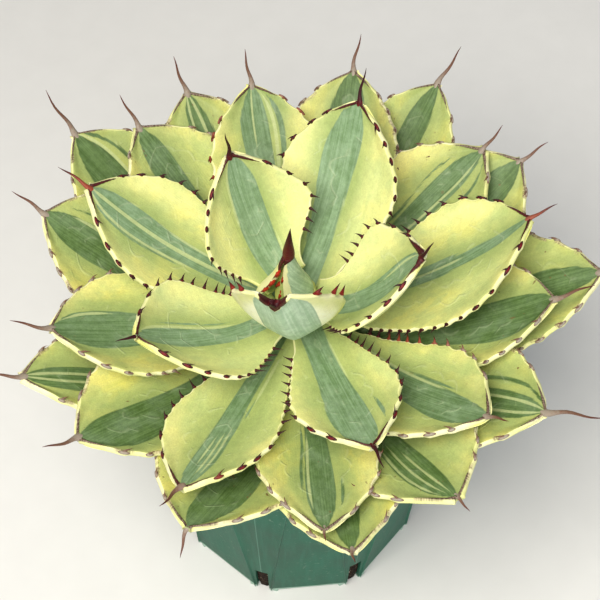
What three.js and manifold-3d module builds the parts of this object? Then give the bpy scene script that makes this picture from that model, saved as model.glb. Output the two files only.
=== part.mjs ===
// A crown agave in a slit nursery pot: a rosette of broad, cupped, toothed leaves on a short stem.
// Millimetres, +Z up. The origin is the middle of the pot's underside, and -Y is the front.
import * as THREE from "three";
import { mergeVertices } from "three/addons/utils/BufferGeometryUtils.js";
import Module from "manifold-3d";

const wasm = await Module();
wasm.setup();

// Pot
const POT_HEIGHT = 155;
const FOOT_DROP = 1.5; // the feet and the hub stand this far below the panels
const WALL = 1.8;
const FLOOR = 2.4;
const BASE_RADIUS = 61.2; // out to a crease, at the bottom
const TOP_RADIUS = 72.4;
const PANELS = 8;
const PANEL_HALF_ANGLE = 18.7; // degrees, at the bottom
const PANEL_TOP_HALF_ANGLE = 6;
const CORNER_SPLITS = [0.33, 0.67]; // shares of a rounded corner
const POT_TURN = 5.3; // degrees the front panel is turned from -Y
const LIP_OUT = 3;
const LIP_DEPTH = 6;
const LIP_THICKNESS = 2.4; // of its flat top
const LIP_SKIRT = 1.4; // thickness of its hanging edge
const LIP_CHAMFER = 0.8;
const LIP_SIDES = 32;
const SLIT_WIDTH = 6.6;
const SLIT_HEIGHT = 26;
const SLIT_INTO_FLOOR = 15;
const FOOT_SIZE = 4.5;
const FOOT_INSET = 0.6; // from the crease
const HUB_RADIUS = 16; // of the round foot under the middle of the floor
const HUB_SIDES = 24;
const FUSE = 1; // how far the feet and the hub run up into the floor
const CUT_PAST = 8; // how far a cutter runs past the face that it opens

// Soil and stem
const GAP = 0.3; // between pieces that touch
const SOIL_TOP = 144;
const SOIL_UNEVENNESS = 1.2;
const SOIL_RINGS = [0.8, 0.55, 0.3]; // shares of the radius, on its top
const STEM_FOOT = 112; // the height, down in the soil, where the stem ends
const STEM_FOOT_RADIUS = 11;
const STEM_SIDES = 16;
const STEM_ORDERS = [34, 27, 18, 10, 4, 0]; // leaf orders at which the stem's outline has a point
const NECK_RADIUS = 4.5; // of the stem, inside the rolled heart leaf
const NECK_STEP = 0.5; // from the youngest open leaf's base up to the neck
const NECK_LENGTH = 5;
const SEAT_DEPTH = 1.2; // how far a leaf's base is let into the stem's round

// How the plant stands in its pot
const PLANT_PIVOT = 150; // height about which the whole plant leans
const PLANT_LEAN = 7.2; // degrees towards the front
const PLANT_SIDE_LEAN = 2; // degrees towards -X
const PLANT_SHIFT = { x: 1.7, y: 0.3 };

// Rosette
const LEAVES = 29; // 0 is the youngest open leaf
const FIRST_AZIMUTH = 260.7; // degrees, anticlockwise from +X
const DIVERGENCE = 137.7; // the golden angle, as this plant grew it
const YOUTH = 4; // leaves in which a young leaf's form fades to a third

// Growth laws: the value at the heart, the value of an old leaf, and a change with every leaf.
const LAWS = {
  reach: { heart: 33.8, old: 103.5, each: 0.7 }, // of the tip, from the stem's axis
  height: { heart: 265, old: 213, each: -0.3 }, // of the tip
  baseReach: { heart: 7, old: 7, each: 0.4 },
  baseHeight: { heart: 208, old: 202, each: -1.6 },
  startRise: { heart: 17, old: 0, each: 0 }, // degrees, where the leaf leaves the stem
  endRise: { heart: 76, old: 22, each: 0 }, // degrees, at the tip
  width: { heart: 62, old: 66, each: 0 }, // before the tip's taper takes its share
  widest: { heart: 0.55, old: 0.85, each: 0 }, // share of the length
  blunt: { heart: 1.5, old: 5, each: 0 }, // power of the share of the length in the tip's taper
  thickness: { heart: 4.5, old: 6, each: 0 }, // along the keel, at the base
  spine: { heart: 10, old: 20, each: 0 },
  spineRise: { heart: 66, old: 42, each: 0 }, // degrees
};

// How far the leaves vary round the laws, each to its own rhythm: shares, and degrees of roll.
const VARIATION = { width: 0.03, spine: 0.1, roll: 2 };

// What single leaves do differently from the growth laws: degrees, millimetres and shares.
// Sway turns the base round the stem, and sag sinks the middle of the midrib. The rest of the
// names are those of the laws.
const LEAF_HABITS = {
  0: { turn: 3, sway: 14, reach: 6, start: -12, roll: 4, broad: -0.05, widest: 0.6, blunt: 5 },
  1: { turn: -1, rise: -3, roll: 3, broad: 0.2, sway: 8, spineRise: 76 },
  2: { turn: 11, reach: -10, roll: -8, sway: -12, spineRise: 70 },
  3: { roll: 6, broad: 0.08, sway: 10, sag: 3, spineRise: 24 },
  4: { reach: 1, rise: 5, roll: -20, broad: 0.08, sway: -6, sag: 3 },
  5: { turn: -1, reach: -2, broad: -0.18, sag: -4 },
  6: { reach: 7, rise: 3, roll: 10, sway: 4, spineRise: 26 },
  7: { turn: -3, reach: 7, rise: 3, roll: -15, broad: 0.07, sway: -14, spineRise: 30 },
  8: { turn: 4, reach: 4, roll: 15, broad: -0.15, sag: 2 },
  9: { roll: 4, broad: -0.06, spineRise: 58 },
  10: { turn: -3, reach: -4, rise: 3, broad: -0.12, sway: -8, sag: 6 },
  11: { turn: 4, roll: 10 },
  12: { turn: -10, reach: -2, rise: -1, roll: -4, baseRise: 1.6 },
  13: { turn: 5, roll: -11, broad: -0.08, sag: -4, baseRise: -1.5 },
  14: { turn: -2, reach: -2, roll: 6, spineRise: 52 },
  15: { turn: 1, reach: -2, roll: -5, broad: -0.05, sway: -12, baseRise: -1 },
  16: { turn: -1 },
  17: { turn: -3, roll: -8, sway: -5, baseRise: -1, spineRise: 12 },
  18: { turn: 2, roll: -4, broad: 0.1, sag: 2, baseRise: -1.6 },
  19: { turn: -4, reach: 3, rise: 1, broad: 0.1, sway: 10, baseRise: -0.5 },
  20: { turn: 5, reach: 1, roll: 8, broad: 0.12, sway: -9, baseRise: -0.8, spineRise: 12 },
  21: { turn: -2, reach: -3, roll: 3, broad: 0.18, sway: 10, sag: 2, baseRise: -1.9, spineRise: -50 },
  22: { turn: 5, reach: -4, sway: 6, baseRise: -0.4, spineRise: 58 },
  23: { turn: -3, reach: -1, roll: 4, sway: -7, baseRise: -2, spine: 30 },
  24: { turn: 2, reach: 3, roll: 8, broad: -0.16, sway: 10, baseRise: -1 },
  25: { reach: 3, roll: -5, broad: -0.1, spineRise: 8 },
  26: { reach: -3, sway: 3, baseRise: -3, spine: 9 },
  27: { turn: -2, reach: 9, broad: 0.06, sway: 3, spineRise: 60, spine: 28 },
  28: { turn: -2, reach: 9 },
};
const USUAL_HABIT = { turn: 0, sway: 0, reach: 0, rise: 0, baseRise: 0, sag: 0, roll: 0, broad: 0 };

// Form of every leaf
const MIDRIB_HANDLE = 0.36; // of the straight length, on the midrib's curve
const TIP_TAPER = 0.9; // power of the fall in width to the tip
const NECK_SHARE = 0.28; // of the full width, where the leaf leaves the stem
const TIP_SHARE = 0.07; // of the full width, where the spine begins
const CHANNEL = 0.005; // curvature across a leaf beyond that of the bowl it lies in, per mm
const EDGE_THICKNESS = 1.6;
const TIP_THICKNESS = 0.45; // of the keel's thickness at the base
const STATIONS = [0, 0.12, 0.26, 0.41, 0.56, 0.7, 0.82, 0.92, 1];
const COLUMNS = [-1, -0.55, 0, 0.55, 1];

// Teeth and spines
const TEETH_A_SIDE = 6;
const TEETH_FROM = 0.4; // share of the length
const TEETH_TO = 0.93;
const TOOTH_LENGTH = 3.2;
const TOOTH_LEAN = 0.25; // towards the tip, for one outward
const TOOTH_SUNK = 2.4;
const TOOTH_HALF_BASE = 2.9;
const TOOTH_HALF_THICKNESS = 0.8;
const SPINE_SIDES = 5;
const SPINE_RADIUS = 1.7;
const SPINE_TAPER = [1, 0.95, 0.6, 0.2];
const SPINE_ROOT = 6; // sunk in the blade
const SPINE_SHOULDER = 0.15; // share of its length that still runs on from the blade

// The rolled heart leaf, and the bud that its slit shows
const HEART = {
  azimuth: 46, // of its back; the slit is opposite
  wrap: 155, // degrees to each side of its back
  length: 28, // up to its spine
  spine: 26,
  spineRise: 92,
  tipRadius: 2.4,
  swell: 8.4, // of the radius, from the tip down to the foot
  taper: 1.4,
  footWall: 5.8,
  tipWall: 1.1,
  thinning: 0.35, // power of the change in the wall
  lipThinning: 0.35, // share of the wall lost at the slit
  inwardLean: 0.15,
  teeth: 3,
  toothLength: 2.4,
  columns: [-1, -0.8, -0.6, -0.4, -0.2, 0, 0.2, 0.4, 0.6, 0.8, 1],
};
const BUD_LENGTH = 22;
const BUD_RADII = [4, 4, 2.7, 1.5, 0.4];
const BUD_SIDES = 8;

const rad = THREE.MathUtils.degToRad;
const mix = THREE.MathUtils.lerp;
const ease = (x) => THREE.MathUtils.smoothstep(x, 0, 1);

let seed = 41;
function random() {
  seed = (seed * 16807) % 2147483647;
  return seed / 2147483647;
}

// Geometry from a list of points and a list of triangles.
function geometryOf(points, triangles) {
  const geometry = new THREE.BufferGeometry();
  geometry.setAttribute("position", new THREE.Float32BufferAttribute(points.flat(), 3));
  geometry.setIndex(triangles.flat());
  return geometry;
}

// Rings of equally many points, each going round +Z, become one closed skin with flat ends.
function loft(rings) {
  const count = rings[0].length;
  const points = rings.flat();
  const triangles = [];
  for (let i = 0; i + 1 < rings.length; i++) {
    for (let j = 0; j < count; j++) {
      const a = i * count + j;
      const b = i * count + ((j + 1) % count);
      triangles.push([a, b, b + count], [a, b + count, a + count]);
    }
  }
  for (const [ring, end] of [[rings[0], 0], [rings.at(-1), 1]]) {
    const centre = points.length;
    points.push([0, 1, 2].map((k) => ring.reduce((sum, p) => sum + p[k], 0) / count));
    const start = end * (rings.length - 1) * count;
    for (let j = 0; j < count; j++) {
      const a = start + j;
      const b = start + ((j + 1) % count);
      triangles.push(end ? [a, b, centre] : [b, a, centre]);
    }
  }
  return geometryOf(points, triangles);
}

function solidOf(geometry) {
  const bare = geometry.clone();
  bare.deleteAttribute("normal");
  bare.deleteAttribute("uv");
  const merged = mergeVertices(bare, 1e-3);
  return new wasm.Manifold(
    new wasm.Mesh({
      numProp: 3,
      vertProperties: merged.getAttribute("position").array,
      triVerts: new Uint32Array(merged.index.array),
    }),
  );
}

function geometryFromSolid(solid) {
  const mesh = solid.getMesh();
  const geometry = new THREE.BufferGeometry();
  geometry.setAttribute("position", new THREE.Float32BufferAttribute(mesh.vertProperties, 3));
  geometry.setIndex(new THREE.Uint32BufferAttribute(mesh.triVerts, 1));
  return geometry;
}

function meshOf(name, solid, material) {
  const geometry = geometryFromSolid(solid).toNonIndexed();
  geometry.computeVertexNormals();
  const mesh = new THREE.Mesh(geometry, material);
  mesh.name = name;
  return mesh;
}

// One ring of the pot at a height: eight flats that narrow upwards, with rounded corners between.
function potRing(height, inset) {
  const up = height / POT_HEIGHT;
  const radius = mix(BASE_RADIUS, TOP_RADIUS, up) - inset;
  const half = rad(mix(PANEL_HALF_ANGLE, PANEL_TOP_HALF_ANGLE, up));
  const pitch = (2 * Math.PI) / PANELS;
  const ring = [];
  for (let panel = 0; panel < PANELS; panel++) {
    const middle = rad(POT_TURN - 90) + panel * pitch;
    const corner = CORNER_SPLITS.map((share) => mix(half, pitch - half, share));
    for (const angle of [-half, half, ...corner]) {
      ring.push([radius * Math.cos(middle + angle), radius * Math.sin(middle + angle), height]);
    }
  }
  return ring;
}

// The rim: a flat top with a skirt that hangs from its outer edge.
function makeLip() {
  const inside = TOP_RADIUS - WALL;
  const outside = TOP_RADIUS + LIP_OUT;
  const profile = [
    [inside, POT_HEIGHT - LIP_THICKNESS],
    [outside - LIP_SKIRT, POT_HEIGHT - LIP_THICKNESS],
    [outside - LIP_SKIRT, POT_HEIGHT - LIP_DEPTH],
    [outside, POT_HEIGHT - LIP_DEPTH],
    [outside, POT_HEIGHT - LIP_CHAMFER],
    [outside - LIP_CHAMFER, POT_HEIGHT],
    [inside, POT_HEIGHT],
    [inside, POT_HEIGHT - LIP_THICKNESS],
  ].map(([x, y]) => new THREE.Vector2(x, y));
  return solidOf(new THREE.LatheGeometry(profile, LIP_SIDES).rotateX(Math.PI / 2));
}

// The drainage slit at one corner: it runs up the wall and in under the floor.
function makeSlitCutter(angle) {
  const depth = SLIT_INTO_FLOOR + CUT_PAST;
  const height = SLIT_HEIGHT + CUT_PAST;
  const cutter = new THREE.BoxGeometry(depth, SLIT_WIDTH, height)
    .translate(BASE_RADIUS + CUT_PAST - depth / 2, 0, SLIT_HEIGHT - height / 2)
    .rotateZ(angle);
  return solidOf(cutter);
}

function makeFoot(angle, side) {
  const height = FOOT_DROP + FUSE;
  const reach = BASE_RADIUS - FOOT_INSET - FOOT_SIZE / 2;
  const foot = new THREE.BoxGeometry(FOOT_SIZE, FOOT_SIZE, height)
    .translate(reach, side * (SLIT_WIDTH + FOOT_SIZE) / 2, height / 2)
    .rotateZ(angle);
  return solidOf(foot);
}

function makePotShell() {
  const outside = solidOf(loft([potRing(FOOT_DROP, 0), potRing(POT_HEIGHT, 0)]));
  const inside = solidOf(
    loft([potRing(FOOT_DROP + FLOOR, WALL), potRing(POT_HEIGHT + CUT_PAST, WALL)]),
  );
  let pot = outside.add(makeLip()).subtract(inside);
  for (let corner = 0; corner < PANELS; corner++) {
    const angle = rad(POT_TURN - 90) + ((corner + 0.5) * 2 * Math.PI) / PANELS;
    pot = pot.subtract(makeSlitCutter(angle)).add(makeFoot(angle, -1)).add(makeFoot(angle, 1));
  }
  const height = FOOT_DROP + FUSE;
  const hub = new THREE.CylinderGeometry(HUB_RADIUS, HUB_RADIUS, height, HUB_SIDES)
    .rotateX(Math.PI / 2)
    .translate(0, 0, height / 2);
  return pot.add(solidOf(hub));
}

// A growth law's value for the leaf of order n, and a leaf's own swing round it, from -1 to 1.
function law(name, n) {
  const { heart, old, each } = LAWS[name];
  return mix(old, heart, Math.exp(-n / YOUTH)) + each * n;
}

function swing(n, rhythm) {
  return Math.sin(rhythm * (n + 1));
}

// Everything that shapes the leaf of order n, in the plant's own upright frame.
function growth(n) {
  const habit = { ...USUAL_HABIT, ...LEAF_HABITS[n] };
  return {
    azimuth: rad(FIRST_AZIMUTH - DIVERGENCE * n + habit.turn),
    reach: law("reach", n) + habit.reach,
    height: law("height", n) + habit.rise,
    baseReach: law("baseReach", n),
    baseHeight: law("baseHeight", n) + habit.baseRise,
    startRise: rad((habit.start ?? law("startRise", n)) - habit.sag),
    endRise: rad(law("endRise", n) + habit.sag),
    sway: rad(habit.sway),
    width: law("width", n) * (1 + habit.broad + VARIATION.width * swing(n, 2.4)),
    widest: habit.widest ?? law("widest", n),
    roll: rad(habit.roll + VARIATION.roll * swing(n, 2.7)),
    spine: (habit.spine ?? law("spine", n)) * (1 + VARIATION.spine * swing(n, 3.7)),
    spineRise: rad(habit.spineRise ?? law("spineRise", n)),
    blunt: habit.blunt ?? law("blunt", n),
    thickness: law("thickness", n),
    teeth: TEETH_A_SIDE,
    toothLength: TOOTH_LENGTH,
    columns: COLUMNS,
  };
}

// The midrib: a Bezier curve in the leaf's own upright plane, x outward and y up.
function midribOf(leaf) {
  const start = new THREE.Vector2(leaf.baseReach, leaf.baseHeight);
  const end = new THREE.Vector2(leaf.reach, leaf.height);
  const handle = start.distanceTo(end) * MIDRIB_HANDLE;
  const out = new THREE.Vector2(Math.cos(leaf.startRise), Math.sin(leaf.startRise));
  const back = new THREE.Vector2(Math.cos(leaf.endRise), Math.sin(leaf.endRise));
  return new THREE.CubicBezierCurve(
    start,
    start.clone().addScaledVector(out, handle),
    end.clone().addScaledVector(back, -handle),
    end,
  );
}

// Half the width at a share of the length: a clasping neck, a broad blade and a sharp shoulder.
function halfWidth(leaf, along) {
  const broad = mix(NECK_SHARE, 1, ease(along / leaf.widest));
  const tapered = broad * (1 - along ** leaf.blunt) ** TIP_TAPER;
  return (leaf.width / 2) * Math.max(tapered, TIP_SHARE);
}

function thicknessAt(leaf, along, across) {
  const keel = leaf.thickness * mix(1, TIP_THICKNESS, along ** 1.5);
  return EDGE_THICKNESS + (keel - EDGE_THICKNESS) * (1 - across * across);
}

// A point of a leaf's face, with its frame: along runs 0..1 to the tip, across runs -1..1.
// The face follows a bowl round the stem, so that the leaves nest without touching.
function leafPoint(leaf, along, across) {
  const flat = leaf.midrib.getPoint(along);
  const slope = leaf.midrib.getTangent(along);
  const azimuth = leaf.azimuth + leaf.sway * (1 - along);
  const outward = new THREE.Vector3(Math.cos(azimuth), Math.sin(azimuth), 0);
  const up = new THREE.Vector3(0, 0, 1);
  const sideways = new THREE.Vector3().crossVectors(up, outward);
  const forward = outward.clone().multiplyScalar(slope.x).addScaledVector(up, slope.y);
  const normal = outward.clone().multiplyScalar(-slope.y).addScaledVector(up, slope.x);
  const rolled = leaf.roll * along;
  sideways.applyAxisAngle(forward, rolled);
  normal.applyAxisAngle(forward, rolled);
  const cup = slope.y / flat.x + CHANNEL;
  const bend = cup * across * halfWidth(leaf, along);
  const lip = sideways.clone().multiplyScalar(Math.cos(bend)).addScaledVector(normal, Math.sin(bend));
  const face = normal.clone().multiplyScalar(Math.cos(bend)).addScaledVector(sideways, -Math.sin(bend));
  const top = outward
    .multiplyScalar(flat.x)
    .addScaledVector(up, flat.y)
    .addScaledVector(sideways, Math.sin(bend) / cup)
    .addScaledVector(normal, (1 - Math.cos(bend)) / cup);
  return { top, forward, lip, face };
}

// The blade: rings round its section, from the base to the tip.
function makeBlade(leaf) {
  const rings = STATIONS.map((along) => {
    const upper = [];
    const lower = [];
    for (const across of leaf.columns) {
      const { top, face } = leaf.pointAt(along, across);
      upper.push(top.toArray());
      lower.push(top.addScaledVector(face, -leaf.depthAt(along, across)).toArray());
    }
    return [...upper.reverse(), ...lower];
  });
  return solidOf(bladeSkin(rings));
}

// The blade's skin: both faces split alike, a strip along each margin, and strips over the ends.
function bladeSkin(rings) {
  const count = rings[0].length;
  const triangles = [];
  for (let i = 0; i + 1 < rings.length; i++) {
    for (let j = 0; j < count; j++) {
      const a = i * count + j;
      const b = i * count + ((j + 1) % count);
      triangles.push([a, b, a + count], [b, b + count, a + count]);
    }
  }
  const last = (rings.length - 1) * count;
  for (let j = 0; j < count / 2 - 1; j++) {
    const [a, b, c, d] = [j, j + 1, count - 2 - j, count - 1 - j];
    triangles.push([a, c, b], [a, d, c]);
    triangles.push([last + a, last + b, last + c], [last + a, last + c, last + d]);
  }
  return geometryOf(rings.flat(), triangles);
}

// A spike along a curve: rings stand across it and shrink towards the point.
function makeSpike(curve, radii, sides) {
  const upHint = new THREE.Vector3(0.3, 0.2, 1);
  const rings = radii.map((radius, i) => {
    const along = i / (radii.length - 1);
    const centre = curve.getPoint(along);
    const direction = curve.getTangent(along);
    const side = new THREE.Vector3().crossVectors(upHint, direction).normalize();
    const normal = new THREE.Vector3().crossVectors(direction, side);
    return Array.from({ length: sides }, (_, k) => {
      const angle = (2 * Math.PI * k) / sides;
      return centre
        .clone()
        .addScaledVector(side, radius * Math.cos(angle))
        .addScaledVector(normal, radius * Math.sin(angle))
        .toArray();
    });
  });
  return solidOf(loft(rings));
}

// The spine runs on from the blade's tip and turns to its own rise.
function makeSpine(leaf) {
  const { top, forward, face } = leaf.pointAt(1, 0);
  const tip = top.addScaledVector(face, -SPINE_RADIUS / 2);
  const root = tip.clone().addScaledVector(forward, -SPINE_ROOT);
  const shoulder = tip.clone().addScaledVector(forward, SPINE_SHOULDER * leaf.spine);
  const level = leaf.spine * Math.cos(leaf.spineRise);
  const rise = leaf.spine * Math.sin(leaf.spineRise);
  const run = new THREE.Vector3(level * Math.cos(leaf.azimuth), level * Math.sin(leaf.azimuth), rise);
  const curve = new THREE.QuadraticBezierCurve3(root, shoulder, tip.clone().add(run));
  return makeSpike(curve, SPINE_TAPER.map((share) => share * SPINE_RADIUS), SPINE_SIDES);
}

// A flat four-sided tooth on the margin, its broad root inside the blade.
function makeTooth(leaf, along, hand) {
  const { top, forward, lip, face } = leaf.pointAt(along, hand);
  const outward = lip.multiplyScalar(hand).addScaledVector(forward, TOOTH_LEAN).normalize();
  const size = leaf.toothLength * (0.75 + 0.4 * random()) * mix(0.7, 1.1, along);
  const middle = top.addScaledVector(face, -EDGE_THICKNESS / 2);
  const root = middle.clone().addScaledVector(outward, -TOOTH_SUNK);
  const tip = middle.clone().addScaledVector(outward, size);
  const base = [[1, 0], [0, 1], [-1, 0], [0, -1]].map(([length, thickness]) =>
    root
      .clone()
      .addScaledVector(forward, length * TOOTH_HALF_BASE)
      .addScaledVector(face, thickness * TOOTH_HALF_THICKNESS)
      .toArray(),
  );
  const sides = [[0, 1, 4], [1, 2, 4], [2, 3, 4], [3, 0, 4], [0, 2, 1], [0, 3, 2]];
  const turned = hand > 0 ? sides.map(([a, b, c]) => [a, c, b]) : sides;
  return solidOf(geometryOf([...base, tip.toArray()], turned));
}

function addSpineAndTeeth(blade, leaf) {
  let solid = blade.add(makeSpine(leaf));
  for (const hand of [-1, 1]) {
    for (let k = 0; k < leaf.teeth; k++) {
      const place = (k + 0.25 + 0.5 * random()) / leaf.teeth;
      solid = solid.add(makeTooth(leaf, mix(TEETH_FROM, TEETH_TO, place), hand));
    }
  }
  return solid;
}

function makeLeaf(n, stemRoom) {
  const leaf = growth(n);
  leaf.midrib = midribOf(leaf);
  leaf.pointAt = (along, across) => leafPoint(leaf, along, across);
  leaf.depthAt = (along, across) => thicknessAt(leaf, along, across);
  return addSpineAndTeeth(makeBlade(leaf).subtract(stemRoom), leaf);
}

// The heart leaf: rolled into a steep spire, open by a slit down one side.
function makeHeartLeaf() {
  const foot = growth(0).baseHeight + SEAT_DEPTH;
  const outerRadius = (along) => HEART.tipRadius + HEART.swell * (1 - along) ** HEART.taper;
  const wall = (along) => mix(HEART.footWall, HEART.tipWall, along ** HEART.thinning);
  const leaf = {
    ...HEART,
    azimuth: rad(HEART.azimuth),
    spineRise: rad(HEART.spineRise),
    depthAt: (along, across) => wall(along) * (1 - HEART.lipThinning * across ** 4),
  };
  leaf.pointAt = (along, across) => {
    const angle = leaf.azimuth + across * rad(HEART.wrap);
    const outward = new THREE.Vector3(Math.cos(angle), Math.sin(angle), 0);
    const lip = new THREE.Vector3(-Math.sin(angle), Math.cos(angle), 0);
    const top = outward.clone().multiplyScalar(outerRadius(along) - wall(along));
    top.z = foot + along * HEART.length;
    const forward = new THREE.Vector3(0, 0, 1).addScaledVector(outward, -HEART.inwardLean).normalize();
    return { top, forward, lip, face: outward.negate() };
  };
  return addSpineAndTeeth(makeBlade(leaf), leaf);
}

// The stem: a cone up through the leaf bases, thickened by a given amount.
function makeStem(extra) {
  const neck = growth(0).baseHeight + NECK_STEP;
  const seats = STEM_ORDERS.map((n) => [growth(n).baseReach + SEAT_DEPTH + extra, growth(n).baseHeight]);
  const profile = [
    [0, STEM_FOOT - extra],
    [STEM_FOOT_RADIUS + extra, STEM_FOOT - extra],
    ...seats,
    [NECK_RADIUS + extra, neck + extra],
    [NECK_RADIUS + extra, neck + NECK_LENGTH + extra],
    [0, neck + NECK_LENGTH + extra],
  ].map(([x, y]) => new THREE.Vector2(x, y));
  return solidOf(new THREE.LatheGeometry(profile, STEM_SIDES).rotateX(Math.PI / 2));
}

// The innermost leaf of all, still a closed blunt cone.
function makeBud() {
  const foot = growth(0).baseHeight + NECK_STEP + NECK_LENGTH + GAP;
  const curve = new THREE.LineCurve3(
    new THREE.Vector3(0, 0, foot),
    new THREE.Vector3(0, 0, foot + BUD_LENGTH),
  );
  return makeSpike(curve, BUD_RADII, BUD_SIDES);
}

// Potting mix: it fills the pot and has an uneven top, with a hole where the stem stands.
function makeSoil(stemRoom) {
  const inset = WALL + GAP;
  const edge = potRing(SOIL_TOP, inset);
  const rings = [potRing(FOOT_DROP + FLOOR + GAP, inset), edge];
  for (const share of SOIL_RINGS) {
    rings.push(
      edge.map(([x, y, z], k) => {
        const bump = Math.sin(k * 2.3 + share * 9) + Math.sin(k * 1.1 + share * 23);
        return [x * share, y * share, z + SOIL_UNEVENNESS * bump];
      }),
    );
  }
  return solidOf(loft(rings)).subtract(stemRoom);
}

const LEAF = new THREE.MeshStandardMaterial({ color: 0xb9c47a, roughness: 0.55, metalness: 0 });
const POT = new THREE.MeshStandardMaterial({ color: 0x2f6b53, roughness: 0.6, metalness: 0 });
const SOIL = new THREE.MeshStandardMaterial({ color: 0x2a2420, roughness: 0.95, metalness: 0 });
const STEM = new THREE.MeshStandardMaterial({ color: 0x9a8f62, roughness: 0.8, metalness: 0 });

// The plant is made upright, and then leans as one about the pivot.
const lean = new THREE.Matrix4()
  .makeTranslation(PLANT_SHIFT.x, PLANT_SHIFT.y, PLANT_PIVOT)
  .multiply(new THREE.Matrix4().makeRotationY(rad(-PLANT_SIDE_LEAN)))
  .multiply(new THREE.Matrix4().makeRotationX(rad(PLANT_LEAN)))
  .multiply(new THREE.Matrix4().makeTranslation(0, 0, -PLANT_PIVOT));

const stemRoom = makeStem(GAP);
const plant = new THREE.Group();
plant.add(meshOf("stem", makeStem(0), STEM));
plant.add(meshOf("bud", makeBud(), LEAF));
plant.add(meshOf("heart_leaf", makeHeartLeaf(), LEAF));
for (let n = 0; n < LEAVES; n++) {
  plant.add(meshOf("leaf_" + String(n + 1).padStart(2, "0"), makeLeaf(n, stemRoom), LEAF));
}
plant.applyMatrix4(lean);

const leaningRoom = solidOf(geometryFromSolid(stemRoom).applyMatrix4(lean));
const part = new THREE.Group();
part.add(meshOf("pot", makePotShell(), POT));
part.add(meshOf("soil", makeSoil(leaningRoom), SOIL));
part.add(plant);

export default part;
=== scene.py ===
# %% [markdown]
# # A variegated crown agave in its slit pot
#
# The plant is a rosette: about thirty broad, cupped leaves, each a golden angle round from the
# one before, with teeth along both margins and a spine at the tip. It grows from a short stem in
# an eight-sided nursery pot of green plastic. This lesson makes every piece from a formula and
# gives each surface a finish made of nodes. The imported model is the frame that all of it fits.

import math

import bpy
import numpy as np
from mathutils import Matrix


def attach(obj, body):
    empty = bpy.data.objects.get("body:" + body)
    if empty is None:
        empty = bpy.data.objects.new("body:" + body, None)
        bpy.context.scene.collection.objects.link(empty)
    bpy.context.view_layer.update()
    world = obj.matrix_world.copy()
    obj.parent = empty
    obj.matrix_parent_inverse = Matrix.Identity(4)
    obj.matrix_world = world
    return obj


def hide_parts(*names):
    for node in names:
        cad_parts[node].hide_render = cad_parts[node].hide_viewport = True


MM = 0.001
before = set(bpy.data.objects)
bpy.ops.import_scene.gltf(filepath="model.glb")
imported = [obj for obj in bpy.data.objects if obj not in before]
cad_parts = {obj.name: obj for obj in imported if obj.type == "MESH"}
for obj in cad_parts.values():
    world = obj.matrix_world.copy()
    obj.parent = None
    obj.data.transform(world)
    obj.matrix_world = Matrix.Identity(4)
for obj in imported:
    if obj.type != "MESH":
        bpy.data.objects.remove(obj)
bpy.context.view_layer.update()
print("frame:", len(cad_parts), "nodes")

# %% [markdown]
# ## The view
#
# The photograph looks down on the plant from the front with a long lens, so the leaves keep their
# true proportions. The camera is set by its height angle, its distance and the point it looks at,
# because those three can be read off the picture one by one.

# %% Camera
VIEW_HEIGHT_ANGLE = math.radians(57)
VIEW_DISTANCE = 870 * MM
VIEW_TARGET = np.array([1, 85.8, 55.7]) * MM
LENS = 96  # mm, for the 36 mm wide sensor

camera = bpy.data.objects.new("camera", bpy.data.cameras.new("camera"))
bpy.context.scene.collection.objects.link(camera)
back = np.array([0, -math.cos(VIEW_HEIGHT_ANGLE), math.sin(VIEW_HEIGHT_ANGLE)])
camera.location = VIEW_TARGET + VIEW_DISTANCE * back
camera.rotation_euler = (math.pi / 2 - VIEW_HEIGHT_ANGLE, 0, 0)
camera.data.lens = LENS
bpy.context.scene.camera = camera
print("camera at", [round(v, 3) for v in camera.location])

# %% [markdown]
# ## Light and floor
#
# Soft daylight wraps round a succulent and keeps its pale bloom readable. One wide lamp above the
# front left gives the leaves their shape, a weaker one opens the right side, and the sky fills the
# gaps between the leaves. The plain view transform keeps yellows as strong as they are painted.

# %% Paint, lamps and floor
def paint(red, green, blue):
    """A colour picked in everyday 0-255 numbers, as the linear colour that shaders work in."""
    shares = [c / 255 for c in (red, green, blue)]
    return (*[s / 12.92 if s < 0.04 else ((s + 0.055) / 1.055) ** 2.4 for s in shares], 1)


LAMP_TARGET = VIEW_TARGET * [1, 0, 3]  # inside the plant, half way up its stem
SKY_STRENGTH = 0.34
FLOOR_SIZE = 60  # m, so wide that its far edge is a level horizon


def add_lamp(name, place, size, watts, colour):
    """A square lamp aimed at the plant, with its place and size in metres."""
    lamp = bpy.data.objects.new(name, bpy.data.lights.new(name, "AREA"))
    bpy.context.scene.collection.objects.link(lamp)
    lamp.location = place
    lamp.data.size = size
    lamp.data.energy = watts
    lamp.data.color = paint(*colour)[:3]
    aim = LAMP_TARGET - np.array(place)
    lamp.rotation_euler = (math.atan2(math.hypot(aim[0], aim[1]), -aim[2]), 0,
                           math.atan2(aim[1], aim[0]) - math.pi / 2)


add_lamp("key_lamp", place=(-0.28, -0.55, 1.25), size=0.7, watts=20, colour=(255, 250, 240))
add_lamp("fill_lamp", place=(0.5, -1.1, 0.55), size=0.9, watts=5, colour=(240, 246, 255))
world = bpy.data.worlds.new("sky")
world.use_nodes = True
world.node_tree.nodes["Background"].inputs["Color"].default_value = paint(236, 240, 246)
world.node_tree.nodes["Background"].inputs["Strength"].default_value = SKY_STRENGTH
bpy.context.scene.world = world
bpy.context.scene.view_settings.view_transform = "Standard"

bpy.ops.mesh.primitive_plane_add(size=FLOOR_SIZE)
floor = bpy.context.object
floor.name = "floor"
print("lamps: 2, floor:", FLOOR_SIZE, "m")

# %% [markdown]
# ## A short language for finishes
#
# A finish is a small sum: so much green here, so much cream there. Written as Python expressions
# it reads like that sum. A wire is a value on its way through the node tree, and adding or
# multiplying wires adds the Math nodes.

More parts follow.
